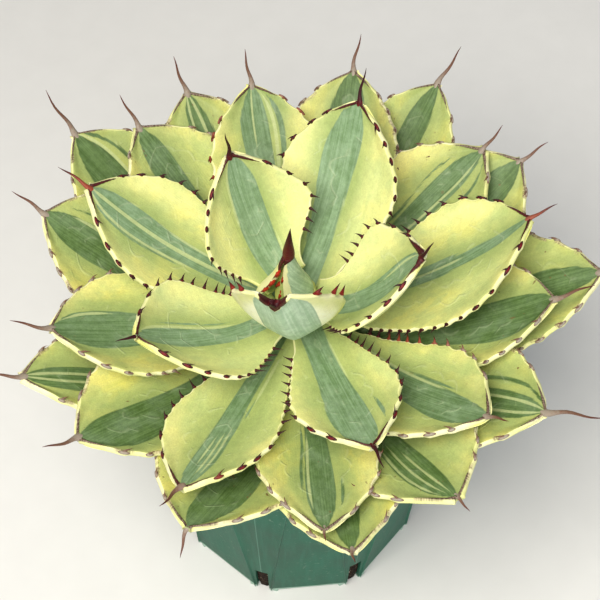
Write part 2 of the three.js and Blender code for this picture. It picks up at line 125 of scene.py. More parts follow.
# %% Wires and finishes
class Wire:
    """A value on its way through a finish."""

    def __init__(self, socket, finish):
        self.socket = socket
        self.finish = finish

    def math(self, operation, first, second=0.0):
        return self.finish.add("ShaderNodeMath", {"operation": operation}, {0: first, 1: second})

    def __add__(self, other):
        return self.math("ADD", self, other)

    def __sub__(self, other):
        return self.math("SUBTRACT", self, other)

    def __rsub__(self, other):
        return self.math("SUBTRACT", other, self)

    def __mul__(self, other):
        return self.math("MULTIPLY", self, other)

    def __pow__(self, other):
        return self.math("POWER", self, other)

    def __abs__(self):
        return self.math("ABSOLUTE", self)

    __radd__ = __add__


class Finish:
    """One material: its nodes, and the shader that they feed."""

    def __init__(self, name, gloss):
        self.material = bpy.data.materials.new(name)
        self.material.use_nodes = True
        self.tree = self.material.node_tree
        self.tree.nodes.clear()
        self.shader = self.add("ShaderNodeBsdfPrincipled", {}, {"Specular IOR Level": gloss})
        self.add("ShaderNodeOutputMaterial", {}, {"Surface": self.shader}, output=None)

    def add(self, kind, settings, sockets, output=0):
        node = self.tree.nodes.new(kind)
        for name, value in settings.items():
            setattr(node, name, value)
        for name, value in sockets.items():
            if isinstance(value, Wire):
                self.tree.links.new(value.socket, node.inputs[name])
            else:
                node.inputs[name].default_value = value
        return node if output is None else Wire(node.outputs[output], self)

    def feed(self, **wires):
        """Wires to the shader's own sockets, by their names."""
        for key, wire in wires.items():
            socket = self.shader.socket.node.inputs[key.replace("_", " ").title()]
            self.tree.links.new(wire.socket, socket)

    def field(self, name):
        """A number that the mesh carries at every point."""
        return self.add("ShaderNodeAttribute", {"attribute_name": name}, {}, output="Fac")

    def place(self):
        return self.add("ShaderNodeTexCoord", {}, {}, output="Object")

    def stretched(self, *scales):
        """The place with its x, y and z multiplied by scales of their own."""
        settings = {"operation": "MULTIPLY"}
        return self.add("ShaderNodeVectorMath", settings, {0: self.place(), 1: scales})

    def height(self):
        return self.add("ShaderNodeSeparateXYZ", {}, {0: self.place()}, output="Z")

    def vector(self, x, y, z=0.0):
        return self.add("ShaderNodeCombineXYZ", {}, {0: x, 1: y, 2: z})

    def noise(self, where, scale=1.0, detail=2.0, roughness=0.5):
        sockets = {"Vector": where, "Scale": scale, "Detail": detail, "Roughness": roughness}
        return self.add("ShaderNodeTexNoise", {}, sockets)

    def step(self, value, low, high):
        """From 0 below low to 1 above high, with a smooth turn at both."""
        sockets = {"Value": value, "From Min": low, "From Max": high}
        return self.add("ShaderNodeMapRange", {"interpolation_type": "SMOOTHSTEP"}, sockets)

    def blend(self, share, first, second):
        """From the first colour to the second, each a wire or three everyday numbers."""
        first, second = (c if isinstance(c, Wire) else paint(*c) for c in (first, second))
        settings = {"data_type": "RGBA"}
        return self.add("ShaderNodeMix", settings, {0: share, 6: first, 7: second}, output=2)

    def ramp(self, value, low, high, first, second):
        """The first colour where the value is below low, the second where it is above high."""
        return self.blend(self.step(value, low, high), first, second)

    def tint(self, colour, share):
        """A colour made darker or lighter by a share that is 1 where it stays the same."""
        settings = {"operation": "SCALE"}
        return self.add("ShaderNodeVectorMath", settings, {0: colour, "Scale": share})

    def bump(self, height, depth):
        """Relief of that depth in metres."""
        sockets = {"Height": height, "Strength": 1.0, "Distance": depth}
        self.feed(normal=self.add("ShaderNodeBump", {}, sockets))


floor_finish = Finish("floor_paper", gloss=0.2)
floor_grain = floor_finish.noise(floor_finish.place(), scale=60)
floor_finish.feed(base_color=floor_finish.blend(floor_grain, (226, 225, 222), (232, 231, 228)))
floor.data.materials.append(floor_finish.material)

# %% [markdown]
# ## Making a piece
#
# Most pieces here are several closed shells in one mesh: a blade with its teeth, a soil with its
# grit. A body gathers the shells, with the numbers that its finish reads at every point, and then
# becomes one object that rides on the frame and stands for the node it refines.

# %% Bodies
FIELDS = ["along", "lateral", "run", "margin", "green", "pale", "border", "under", "age", "grey", "seed",
          "horn", "ridge"]
CRISP_ANGLE = math.radians(35)


def signed_volume(points, quads):
    a, b, c, d = (points[quads[:, k]] for k in range(4))
    return float((np.cross(b - a, c - a) * a).sum() + (np.cross(c - a, d - a) * a).sum())


class Body:
    """The shells of one piece, in millimetres."""

    def __init__(self):
        self.points = []
        self.faces = []
        self.finishes = []
        self.fields = []
        self.count = 0

    def add(self, points, quads, finish=0, **fields):
        """One shell. A field is a number, or numbers in the same layout as the points."""
        points = np.asarray(points, float)
        layout = points.shape[:-1]
        self.fields.append([np.broadcast_to(fields.get(f, 0.0), layout).reshape(-1) for f in FIELDS])
        points = points.reshape(-1, 3)
        quads = np.asarray(quads)
        if signed_volume(points, quads) < 0:
            quads = quads[:, ::-1]
        self.faces.append(quads + self.count)
        self.points.append(points)
        self.finishes.append(np.full(len(quads), finish))
        self.count += len(points)

    def make(self, name, node, finishes, placing=lambda points: points, crisp=False):
        """The object, with doubled corners left out of its faces."""
        mesh = bpy.data.meshes.new(name)
        points = placing(np.concatenate(self.points)) * MM
        faces = [[v for k, v in enumerate(quad) if v != quad[k - 1]]
                 for quad in np.concatenate(self.faces).tolist()]
        mesh.from_pydata(points.tolist(), [], faces)
        for row, field in enumerate(FIELDS):
            values = np.concatenate([shell[row] for shell in self.fields])
            if values.any():
                layer = mesh.attributes.new(field, "FLOAT", "POINT")
                layer.data.foreach_set("value", values.astype(np.float32))
        for finish in finishes:
            mesh.materials.append(finish.material)
        mesh.polygons.foreach_set("material_index", np.concatenate(self.finishes).astype(np.int32))
        mesh.polygons.foreach_set("use_smooth", np.ones(len(mesh.polygons), bool))
        if crisp:
            mesh.set_sharp_from_angle(angle=CRISP_ANGLE)
        mesh.update()
        piece = bpy.data.objects.new(name, mesh)
        bpy.context.scene.collection.objects.link(piece)
        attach(piece, "root")
        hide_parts(node)
        print(name, "stands for", node, "with", len(faces), "faces")


def loft_quads(rings, sides):
    """Quads round a stack of rings, with both ends closed by strips across."""
    index = np.arange(rings * sides).reshape(rings, sides)
    around = np.roll(index, -1, axis=1)
    skin = np.stack([index[:-1], around[:-1], around[1:], index[1:]], -1).reshape(-1, 4)
    strips = np.arange(sides // 2 - (sides + 1) % 2)
    ends = []
    for ring, turn in ((index[0], -1), (index[-1], 1)):
        a, b, c, d = (ring[strips], ring[strips + 1], ring[-strips - 2], ring[-strips - 1])
        ends.append(np.stack([a, b, c, d], -1)[:, ::turn])
    return np.concatenate([skin, *ends])


def mix(first, second, share):
    return first + (second - first) * share


def ease(share):
    share = np.clip(share, 0, 1)
    return share * share * (3 - 2 * share)


def fade(value, start, end):
    """From 0 at the start to 1 at the end, with a smooth turn at both."""
    return ease((value - start) / (end - start))


def unit(vectors):
    return vectors / np.maximum(np.linalg.norm(vectors, axis=-1, keepdims=True), 1e-9)


def square_to(axis, way):
    """The part of a way that is square to an axis, made one long."""
    return unit(way - axis * (axis * way).sum(-1, keepdims=True))


def walked(points):
    """The way along a line of points, in mm, from 0 at the first."""
    return np.concatenate([[0], np.cumsum(np.linalg.norm(np.diff(points, axis=0), axis=1))])


def turns(count):
    return np.linspace(0, 2 * math.pi, count, endpoint=False)


def round_points(radius, turn, height):
    """Points round Z."""
    return np.stack(np.broadcast_arrays(radius * np.cos(turn), radius * np.sin(turn), height), -1)


# %% [markdown]
# ## How the plant grew
#
# A rosette is one leaf drawn some thirty times at different ages. Each leaf starts a golden angle round
# from the last, and its reach, height, steepness and width follow laws that run from the youngest
# leaf at the heart to the oldest at the rim. What a single leaf does differently is a habit added
# to the laws. Writing it this way keeps the whole plant in one table, as the frame does.

# %% Growth laws
LEAVES = 29  # 0 is the youngest open leaf
FIRST_AZIMUTH = 260.7  # degrees, anticlockwise from +X
DIVERGENCE = 137.7  # degrees from each leaf to the next, clockwise
YOUTH = 4  # leaves in which a young leaf's form fades to a third
LAWS = {  # at the heart, of an old leaf, and the change with every leaf
    "reach": (33.8, 103.5, 0.7), "height": (265, 213, -0.3),
    "base_reach": (7, 7, 0.4), "base_height": (208, 202, -1.6),
    "start_rise": (17, 0, 0), "end_rise": (76, 22, 0),
    "width": (62, 66, 0), "widest": (0.55, 0.85, 0), "blunt": (1.5, 5, 0),
    "thickness": (4.5, 6, 0), "spine": (10, 20, 0), "spine_rise": (66, 42, 0),
}
LEAF_HABITS = {  # degrees, mm and shares, on top of the laws or in their place
    0: dict(turn=-2.5, sway=16, reach=2, start=-13, roll=4, broad=-0.14, widest=0.6, blunt=5,
            bare=0.64, spacing=2.7, stout=1.9, horn=6.5, fold=2.6),
    1: dict(turn=-1, rise=-3, roll=3, broad=0.2, sway=8, spine_rise=84, spine=14),
    2: dict(turn=11, reach=-10, roll=-8, sway=-12, spine_rise=70, horn=1.8),
    3: dict(roll=6, broad=0.08, sway=10, sag=3, spine_rise=24, spine=9),
    4: dict(reach=1, rise=5, roll=-20, broad=0.08, sway=-6, sag=3),
    5: dict(turn=-1, reach=-2, broad=-0.18, sag=-4, spine_rise=14, spine=12),
    6: dict(reach=7, rise=3, roll=10, sway=4, spine_rise=26, spine=15),
    7: dict(turn=-3, reach=7, rise=3, roll=-15, broad=0.07, sway=-14, spine_rise=30, spine=15),
    8: dict(turn=4, reach=4, roll=15, broad=-0.15, sag=2),
    9: dict(roll=4, broad=-0.06, spine_rise=58),
    10: dict(turn=-3, reach=-4, rise=3, broad=-0.12, sway=-8, sag=6, spine=13),
    11: dict(turn=4, roll=10),
    12: dict(turn=-10, reach=-2, rise=-1, roll=-4, base_rise=1.6, spine=16),
    13: dict(turn=5, roll=-11, broad=-0.08, sag=-4, base_rise=-1.5, spine=5, spine_rise=20),
    14: dict(turn=-2, reach=-2, roll=6, spine_rise=52),
    15: dict(turn=1, reach=-2, roll=-5, broad=-0.05, sway=-12, base_rise=-1),
    16: dict(turn=-1),
    17: dict(turn=-3, roll=-8, sway=-5, base_rise=-1, spine_rise=12),
    18: dict(turn=2, roll=-4, broad=0.1, sag=2, base_rise=-1.6, spine=8, spine_rise=16),
    19: dict(turn=-4, reach=3, rise=1, broad=0.1, sway=10, base_rise=-0.5),
    20: dict(turn=5, reach=1, roll=8, broad=0.12, sway=-9, base_rise=-0.8, spine_rise=12, spine=14),
    21: dict(turn=-2, reach=-3, roll=3, broad=0.18, sway=10, sag=2, base_rise=-1.9, spine_rise=-50,
             spine=16),
    22: dict(turn=5, reach=-4, sway=6, base_rise=-0.4, spine_rise=58),
    23: dict(turn=-3, reach=-1, roll=4, sway=-7, base_rise=-2, spine=30),
    24: dict(turn=2, reach=3, roll=8, broad=-0.16, sway=10, base_rise=-1),
    25: dict(reach=3, roll=-5, broad=-0.1, spine_rise=8),
    26: dict(reach=-3, sway=3, base_rise=-3, spine=9),
    27: dict(turn=-2, reach=9, broad=0.06, sway=3, spine_rise=65, spine=28),
    28: dict(turn=-2, reach=9),
}
LEAF_SEED = 410
RIM_HORN = (0.9, 0.65)  # mm of horn on the rim beside the spine, on the newest leaf and the oldest


def law(name, n):
    heart, old, each = LAWS[name]
    return mix(old, heart, math.exp(-n / YOUTH)) + each * n


class Leaf:
    """Everything that shapes the leaf of order n, in the plant's own upright frame."""

    def __init__(self, n):
        habit = LEAF_HABITS[n]
        self.n = n
        self.age = (n + 0.6) / LEAVES

        def own(name, usual=0):
            return habit.get(name, usual)

        def swing(amount, rhythm):
            return amount * math.sin(rhythm * (n + 1))

        self.azimuth = math.radians(FIRST_AZIMUTH - DIVERGENCE * n + own("turn"))
        self.sway = math.radians(own("sway"))
        self.start = np.array([law("base_reach", n), law("base_height", n) + own("base_rise")])
        self.end = np.array([law("reach", n) + own("reach"), law("height", n) + own("rise")])
        self.start_rise = math.radians(own("start", law("start_rise", n)) - own("sag"))
        self.end_rise = math.radians(law("end_rise", n) + own("sag"))
        self.width = law("width", n) * (1 + own("broad") + swing(0.03, 2.4))
        self.widest = own("widest", law("widest", n))
        self.blunt = own("blunt", law("blunt", n))
        self.roll = math.radians(own("roll") + swing(2, 2.7))
        self.fold = own("fold")  # mm that the halves are flatter than the bowl, which leaves a keel
        self.thickness = law("thickness", n)
        self.spine = own("spine", law("spine", n)) * (1 + swing(0.1, 3.7))
        self.spine_rise = math.radians(own("spine_rise", law("spine_rise", n)))
        self.random = np.random.default_rng(LEAF_SEED + n)
        self.mound = self.random.uniform(*MOUNDS)
        self.bare = own("bare", TEETH_START)
        self.spacing = own("spacing", 1)
        self.stout = own("stout", 1)
        self.horn = mix(*RIM_HORN, self.age) * own("horn", 1)
        self.length = walked(midrib(self, np.linspace(0, 1, 60))[0])[-1]


# %% [markdown]
# ## The blade's surface
#
# The midrib is one Bezier curve, out from the stem and up, and a leaf that sways turns a little on
# its way. Across it the face follows a bowl round the stem, so that leaves nest like spoons. The
# frame's solids use the same formula with a few points. Here it gets many more, and with them what
# only a fine mesh can show: the margin scalloped into a mound under each tooth, the rim curled up,
# and slow waves in the face.

# %% Midrib, width and face
MIDRIB_HANDLE = 0.36  # share of the straight length
TIP_TAPER = 0.9
NECK_SHARE = 0.28  # of the full width, at the base
TIP_SHARE = 0.03  # of the full width, at the very tip
CHANNEL = 0.005  # curvature across a leaf beyond that of the bowl it lies in, per mm
RIM_CURL = 1.5  # mm that the margin stands up, near the tip
MOUNDS = (0.7, 1.5)  # mm that the margin stands out under a tooth, least and most
MOUND_WIDTH = 2.2  # mm from a mound's top to well down its side
NOTCH = 13.5  # mm that the youngest leaf's margin stands past its folded tip
WAVES = 0.35  # mm that the face swells and sinks


def midrib(leaf, along):
    handle = np.linalg.norm(leaf.end - leaf.start) * MIDRIB_HANDLE
    out = np.array([math.cos(leaf.start_rise), math.sin(leaf.start_rise)])
    back = np.array([math.cos(leaf.end_rise), math.sin(leaf.end_rise)])
    near = leaf.start + handle * out
    far = leaf.end - handle * back
    t = np.asarray(along, float)[..., None]
    point = ((1 - t) ** 3 * leaf.start + 3 * (1 - t) ** 2 * t * near
             + 3 * (1 - t) * t**2 * far + t**3 * leaf.end)
    slope = ((1 - t) ** 2 * (near - leaf.start) + 2 * (1 - t) * t * (far - near)
             + t**2 * (leaf.end - far))
    return point, unit(slope)


def half_width(leaf, along):
    broad = mix(NECK_SHARE, 1, ease(along / leaf.widest))
    taper = np.clip(1 - along**leaf.blunt, 0, 1) ** TIP_TAPER
    return leaf.width / 2 * np.maximum(broad * taper, TIP_SHARE)


def mounds(leaf, along, hand):
    """How far the margin stands out at the teeth of one hand, in mm."""
    gap = (along[..., None] - leaf.teeth[hand][0]) * leaf.teeth[hand][2] / MOUND_WIDTH
    return leaf.mound * np.exp(-gap * gap).sum(-1)


def face_points(leaf, along, across, detailed=True):
    """Points of the upper face: along runs 0 to 1 to the tip, across runs -1 to 1."""
    along, across = np.broadcast_arrays(np.asarray(along, float), np.asarray(across, float))
    flat, slope = midrib(leaf, along)
    azimuth = leaf.azimuth + leaf.sway * (1 - along)
    outward = np.stack([np.cos(azimuth), np.sin(azimuth), 0 * azimuth], -1)
    up = np.broadcast_to(np.array([0, 0, 1.0]), outward.shape)
    sideways = np.cross(up, outward)
    forward = slope[..., :1] * outward + slope[..., 1:] * up
    normal = slope[..., :1] * up - slope[..., 1:] * outward
    turn = (leaf.roll * along)[..., None]
    lip = sideways * np.cos(turn) + np.cross(forward, sideways) * np.sin(turn)
    rise = normal * np.cos(turn) + np.cross(forward, normal) * np.sin(turn)
    reach = across * half_width(leaf, along)
    lift = 0.0
    if detailed:
        edge = np.abs(across)
        bulge = np.where(across > 0, mounds(leaf, along, 1), -mounds(leaf, along, 0))
        reach = reach + bulge * edge**6
        lift = RIM_CURL * fade(edge, 0.6, 1) * fade(along, 0.1875, 0.8125) * fade(along, 1, 0.94)
        wave = np.sin(along * 9 + leaf.n) * np.cos(across * 3 + leaf.n * 2.1)
        lift = lift + WAVES * wave * (1 - edge**4) + leaf.fold * 4 * edge * (1 - edge)
    cup = slope[..., 1] / flat[..., 0] + CHANNEL
    bend = cup * reach
    point = (flat[..., :1] * outward + flat[..., 1:] * up + lip * (np.sin(bend) / cup)[..., None]
             + rise * ((1 - np.cos(bend)) / cup + lift)[..., None])
    if leaf.fold:
        past = NOTCH * fade(np.abs(reach), 0.8, 6.8) * fade(along, 0.55, 1)
        point = point + forward * past[..., None]
    return point


def face_frame(leaf, along, across, hand=1):
    """A point of the face, with the ways to the tip along its line, to that hand, and off the face."""
    small = 0.002
    middle = min(along, 1 - small)

    def near(a, c):
        return face_points(leaf, np.array(a), np.array(c), detailed=False)

    forward = unit(near(middle + small, across) - near(middle - small, across))
    lip = near(middle, across) - near(middle, across - small)
    off = unit(np.cross(forward, lip))
    return face_points(leaf, np.array(along), np.array(across)), forward, np.cross(off, forward) * hand, off


# %% [markdown]
# ## Teeth in their places
#
# The teeth stand close together near the base and about a centimetre apart towards the tip. Their
# places are found by walking along the margin in millimetres, because a share of the leaf's length
# would crowd them where a blunt leaf turns its corner.

# %% Walking the margin
TEETH_START = 0.2  # share of the length
TOOTH_STEPS = (4.2, 10.5)  # mm between teeth, at the base and near the tip
TIP_BORDER = 14.0  # mm of horny border each side of the spine
TOOTHLESS = 0.8  # share of the border where no teeth stand
FIRST_TOOTH = 3  # mm from where the teeth start, at most
STEP_CHANCE = (0.8, 1.2)  # shares of a step, least and most
MARGIN_POINTS = 400


def place_teeth(leaf):
    """For each hand: the teeth's shares of the length, their sizes 0 to 1, and mm per share."""
    leaf.teeth = []
    for hand in (-1, 1):
        along = np.linspace(leaf.bare, 1, MARGIN_POINTS)
        walk = walked(face_points(leaf, along, hand, detailed=False))
        place = leaf.random.uniform(0, FIRST_TOOTH)
        places = []
        while place < walk[-1] - TIP_BORDER * TOOTHLESS:
            places.append(place)
            share = place / walk[-1]
            step = mix(*TOOTH_STEPS, ease(share * 1.25)) * leaf.spacing
            place += step * leaf.random.uniform(*STEP_CHANCE)
        shares = np.interp(places, walk, along)
        sizes = np.array(places) / walk[-1]
        leaf.teeth.append((shares, sizes, np.interp(shares, along, np.gradient(walk, along))))


# %% [markdown]
# ## The colours' layout
#
# Variegation runs with the veins: a blue-green band down the middle, cream and yellow towards the
# margins, and thin streaks of one in the other. Each leaf has its own band, so its middle, its
# drift towards the tip and its half width are listed. The mesh carries how deep inside the
# band every point lies, in millimetres, and the finish turns that into a clean edge.

# %% Bands and streaks
BANDS = {  # middle of the band, its drift from base to tip, its half width: shares of the half leaf
    0: (0.05, 0, 0.4), 1: (-0.05, -0.15, 0.26), 2: (-0.1, 0.4, 0.25), 3: (0, -0.3, 0.17),
    4: (0.16, 0, 0.27), 5: (-0.1, -0.05, 0.33), 6: (0.02, 0, 0.23), 7: (0.08, -0.15, 0.08),
    8: (0, 0.15, 0.19), 9: (0.1, 0, 0.22), 10: (0.05, -0.5, 0.26), 11: (0.05, 0, 0.3),
    12: (0.03, 0, 0.18), 13: (0.03, 0, 0.2), 14: (0.1, 0, 0.2), 15: (-0.07, -0.35, 0.33),
    16: (0.2, 0.2, 0.3), 17: (0, 0, 0.26), 18: (-0.15, -0.1, 0.19), 19: (0, 0, 0.22),
    20: (0, 0, 0.2), 21: (0.12, 0, 0.24), 22: (-0.04, 0, 0.17), 23: (0, 0, 0.2),
    24: (0.05, 0, 0.24), 25: (0.03, 0, 0.2), 26: (0, 0, 0.18), 27: (0.1, 0, 0.22), 28: (0, 0, 0.22),
}
GREYNESS = {1: 0.1, 3: 0.8, 5: 0.6, 7: 0.5, 8: 1, 10: 0.6, 12: 0, 14: 0, 18: 0.8, 26: 0.5}
COMMON_GREYNESS = 0.2  # how grey a face is, for the leaves that aren't listed
BAND_FLARE = 0.9  # how much wider a band gets towards both ends
PALE_STREAKS = {  # share across, mm wide, from and to as shares of the length
    1: [(0.21, 1.0, 0.45, 0.95), (-0.34, 1.0, 0.1, 0.35)], 2: [(0.06, 1.0, 0.55, 0.97)],
    3: [(-0.19, 1.3, 0.3, 0.95)], 5: [(0.24, 0.9, 0.15, 0.5)],
    6: [(0.03, 1.7, 0.1, 1), (0.25, 1.1, 0.4, 1), (-0.19, 0.9, 0.3, 0.62)],
    7: [(0.11, 1.0, 0.25, 0.68)],
    8: [(0.04, 0.9, 0.62, 0.92), (0.12, 0.9, 0.6, 0.9), (-0.05, 0.9, 0.66, 0.85),
        (0.3, 1.2, 0.15, 0.42)], 9: [(-0.2, 1.6, 0.5, 0.95), (0.12, 0.8, 0.7, 1)],
    10: [(0.3, 1.0, 0.2, 0.75)], 11: [(-0.22, 1.2, 0.72, 0.95)], 12: [(-0.08, 1.0, 0.4, 0.95)],
    13: [(-0.13, 1.1, 0.5, 0.9)], 15: [(0.25, 0.9, 0.3, 0.5)],
    18: [(-0.3, 1.0, 0.6, 0.95), (-0.2, 0.9, 0.6, 0.95), (-0.1, 0.9, 0.65, 0.95)],
    19: [(-0.2, 1.2, 0.6, 0.9)], 22: [(-0.1, 1.2, 0.6, 1), (0.05, 0.9, 0.6, 1)],
    23: [(-0.1, 1.2, 0.6, 1), (0.1, 1.2, 0.6, 1)], 24: [(-0.05, 1.3, 0.5, 1), (0.1, 1.1, 0.5, 1)],
    27: [(-0.15, 1.4, 0.6, 1)],
}
GREEN_STREAKS = {
    3: [(-0.26, 0.9, 0.35, 0.8)], 5: [(0.42, 1.6, 0.66, 0.85)], 6: [(0.3, 1.0, 0.45, 0.95)],
    7: [(0.2, 1.8, 0.3, 0.66), (-0.02, 1.3, 0.3, 0.62)], 8: [(0.27, 0.9, 0.44, 0.52)],
    9: [(-0.3, 2.2, 0.6, 0.95)], 10: [(0.36, 1.2, 0.5, 0.74)],
    12: [(-0.3, 1.6, 0.55, 0.95), (0.3, 1.4, 0.45, 0.9)],
    13: [(-0.22, 1.3, 0.45, 0.8), (0.32, 1.4, 0.75, 0.9)], 15: [(0.3, 1.1, 0.35, 0.6)],
    19: [(-0.33, 1.6, 0.6, 0.9)], 23: [(0.35, 1.5, 0.6, 1)], 27: [(-0.28, 1.8, 0.6, 1)],
}
BAND_MIDDLE = 0.55  # share of the length where the band has its own place
STREAK_TAPER = 6  # mm over which a streak comes to its full width
OUTSIDE = -9.0  # mm, for a band or a streak that isn't there


def colour_fields(leaf, along, across, half):
    """Depth inside the green band and inside the pale streaks, in mm, below 0 outside."""
    middle, drift, share = BANDS[leaf.n]
    flare = 1 + BAND_FLARE * ((along - 0.5) / 0.42) ** 2
    shift = drift * (along - BAND_MIDDLE)
    green = (share * flare - np.abs(across - middle - shift)) * half
    pale = np.full(along.shape, OUTSIDE)
    for field, streaks in ((green, GREEN_STREAKS), (pale, PALE_STREAKS)):
        for place, width, first, last in streaks.get(leaf.n, []):
            ends = np.clip(np.minimum(along - first, last - along) * leaf.length / STREAK_TAPER, -2, 1)
            place = middle + (place - middle) * flare + shift
            np.maximum(field, width / 2 * ends - np.abs(across - place) * half, out=field)
    return green, pale


# %% [markdown]
# ## Blades
#
# Each blade is a stack of closed rings from the base to the tip: over the upper face, round the
# thick margin, back under the lower face and round the other margin. The rings stand closer where
# the margin turns, and the points across stand closer in the middle, where the thin streaks run.

# %% Blade meshes
STATIONS = 76
COLUMNS = 57
CROWDING = 0.4  # share by which the points stand closer in the middle
EDGE_TURN = np.radians([35, 90, 145])
EDGE_THICKNESS = (1.8, 2.7)  # at the base and near the tip
EDGE_BULGE = 0.55  # mm that the margin is rounded out
TIP_THICKNESS = 0.45  # of the midrib at the tip, as a share of that at the base
EDGE = np.ones(len(EDGE_TURN))  # the points round a margin all lie at its share across
NOTCH_HORN = 9  # mm of horn each side of the folded tip's middle
NOTCH_CREAM = 3.5  # mm between the folded tip and its band


def sheet_rings(top, bottom, lip, bulge):
    """Rings over a sheet's upper face, round its margin and back under it."""
    parts = [top]
    for column, hand in ((-1, 1), (0, -1)):
        middle = (top[:, column] + bottom[:, column]) / 2
        half = (top[:, column] - bottom[:, column]) / 2
        arc = [middle + half * math.cos(a) + lip[:, column] * bulge * hand * math.sin(a)
               for a in EDGE_TURN[::hand]]
        parts.append(np.stack(arc, 1))
        if hand > 0:
            parts.append(bottom[:, ::-1])
    return np.concatenate(parts, axis=1)


def add_sheet(body, rings, across, fields):
    """A closed sheet with fields given as functions of the share across, and its under side."""
    columns = np.concatenate([across, EDGE, across[::-1], -EDGE])[None, :]
    turn = np.linspace(0, 1, len(EDGE) + 2)[1:-1]
    under = np.concatenate([0 * across, turn, 1 + 0 * across, 1 - turn])[None, :]
    edge = np.concatenate([0 * across, EDGE, 0 * across, EDGE])[None, :]
    values = fields(columns, edge)
    body.add(rings, loft_quads(*rings.shape[:2]), under=under, **values)


def add_blade(body, leaf):
    spread = np.linspace(-1, 1, COLUMNS)
    across = spread * (1 - CROWDING + CROWDING * spread**2)
    dense = np.linspace(0, 1, MARGIN_POINTS)
    walks = [walked(face_points(leaf, dense, column, detailed=False)) for column in (-1, 0, 1)]
    walk = np.mean([w / w[-1] for w in walks], axis=0)
    along = np.interp(np.linspace(0, 1, STATIONS), walk, dense)[:, None]
    half = half_width(leaf, along)

    top = face_points(leaf, along, across[None, :])
    forward = unit(np.gradient(top, axis=0))
    lip = square_to(forward, np.gradient(top, axis=1))
    keel = leaf.thickness * mix(1, TIP_THICKNESS, along**1.5)
    edge = mix(*EDGE_THICKNESS, along**3 if not leaf.fold else 0)
    depth = (edge + (keel - edge) * (1 - across**2))[..., None]
    rings = sheet_rings(top, top - np.cross(forward, lip) * depth, lip, EDGE_BULGE)
    to_tip = np.linalg.norm(rings - rings[-1].mean(0), axis=-1)
    slope = np.gradient(half, axis=0) / np.gradient(along * leaf.length, axis=0)

    def fields(columns, edge):
        inside = (1 - np.abs(columns)) * half / np.sqrt(1 + slope**2) - edge
        green, pale = colour_fields(leaf, along + 0 * columns, columns, half)
        horn_width = leaf.horn * (1 - (to_tip / TIP_BORDER) ** 2)
        border = horn_width + 0.1 - np.maximum(inside, 0)
        if leaf.fold:
            to_end = (1 - along) * leaf.length
            lateral = np.abs(columns) * half
            out = lateral / NOTCH_HORN
            border = leaf.horn * (1 - out) - to_end * mix(1, 0.6, ease(out))
            green = np.minimum(green, to_end - NOTCH_CREAM)
        return dict(along=along, lateral=columns * half, run=along * leaf.length, margin=inside,
                    green=green, pale=pale, border=border, age=leaf.age, seed=leaf.n + 0.5,
                    grey=GREYNESS.get(leaf.n, COMMON_GREYNESS))

    add_sheet(body, rings, across, fields)


# %% [markdown]
# ## Teeth and spines
#
# A tooth is a flat oval pad of horn on the margin with a needle on it. Near the base the needle
# stands out; nearer the tip it lies back towards the base and in over the face, as it was pressed
# in the bud. A spine is the same horn at the tip: a flared foot, then a long taper with a slight
# wander. All of them are oval rings along a bent line, so one function makes them.

# %% Horns
def bend_line(start, knee, end, count):
    t = np.linspace(0, 1, count)[:, None]
    return (1 - t) ** 2 * start + 2 * (1 - t) * t * knee + t**2 * end


def add_horn(body, line, wide_radii, thin_radii, wide_way, sides, tones, **fields):
    """Oval rings along a line, their long axis near wide_way, with a tone from 0 to 1 for each."""
    line = np.asarray(line)
    ahead = unit(np.gradient(line, axis=0))
    wide = square_to(ahead, wide_way)
    thin = np.cross(ahead, wide)
    angle = turns(sides)[None, :, None]
    rings = (line[:, None] + wide[:, None] * np.reshape(wide_radii, (-1, 1, 1)) * np.cos(angle)
             + thin[:, None] * np.reshape(thin_radii, (-1, 1, 1)) * np.sin(angle))
    body.add(rings, loft_quads(len(line), sides), 1, horn=np.reshape(tones, (-1, 1)), **fields)


TOOTH = {  # near the base and near the tip, in mm, with knee_rise as a share of the rise
    "pad": (1.0, 2.5), "pad_height": (0.75, 0.85), "stand": (4.2, -1.1), "back": (0.9, 3.3),
    "rise": (1.2, 2.3), "knee": (1.9, 0.5), "knee_rise": (0.5, 0.8), "foot": (0.8, 0.9),
}
PAD_DEPTH = 0.7
PAD_SIDES = 8
NEEDLE_SIDES = 7
PAD_STEPS = np.array([-1, -0.85, -0.45, 0, 0.45, 0.85, 1])
NEEDLE_TAPER = np.array([1, 0.8, 0.6, 0.45, 0.3, 0.16, 0.05])


def add_tooth(body, root, outward, forward, off, size, random, stout=1, **fields):
    """size runs from 0, a tooth near the base, to 1, one near the tip."""
    form = {name: mix(*ends, size) for name, ends in TOOTH.items()}
    long_half = form["pad"] * random.uniform(0.7, 1.25) * stout
    pad_round = np.sqrt(1.02 - PAD_STEPS**2)
    pad_line = root + forward * (PAD_STEPS * long_half)[:, None] - off * 0.1
    add_horn(body, pad_line, pad_round * form["pad_height"], pad_round * PAD_DEPTH, off, PAD_SIDES,
             0.1 + 0.5 * np.abs(PAD_STEPS), **fields)
    stand = form["stand"] * random.uniform(0.8, 1.2)
    back = form["back"] * random.uniform(0.6, 1.15)
    rise = form["rise"] * random.uniform(0.7, 1.2)
    knee = root + outward * form["knee"] + off * rise * form["knee_rise"]
    tip = root + outward * stand + off * rise - forward * back
    line = bend_line(root - outward * 0.3, knee, tip, len(NEEDLE_TAPER))
    foot = form["foot"] * stout
    add_horn(body, line, NEEDLE_TAPER * foot * 1.15, NEEDLE_TAPER * foot * 0.75, forward + outward * 0.3,
             NEEDLE_SIDES, np.linspace(0.35, 1, len(NEEDLE_TAPER)), **fields)


TOOTH_RIPENESS = (0.62, 0.88)  # of the leaf's age: a leaf is youngest at its foot


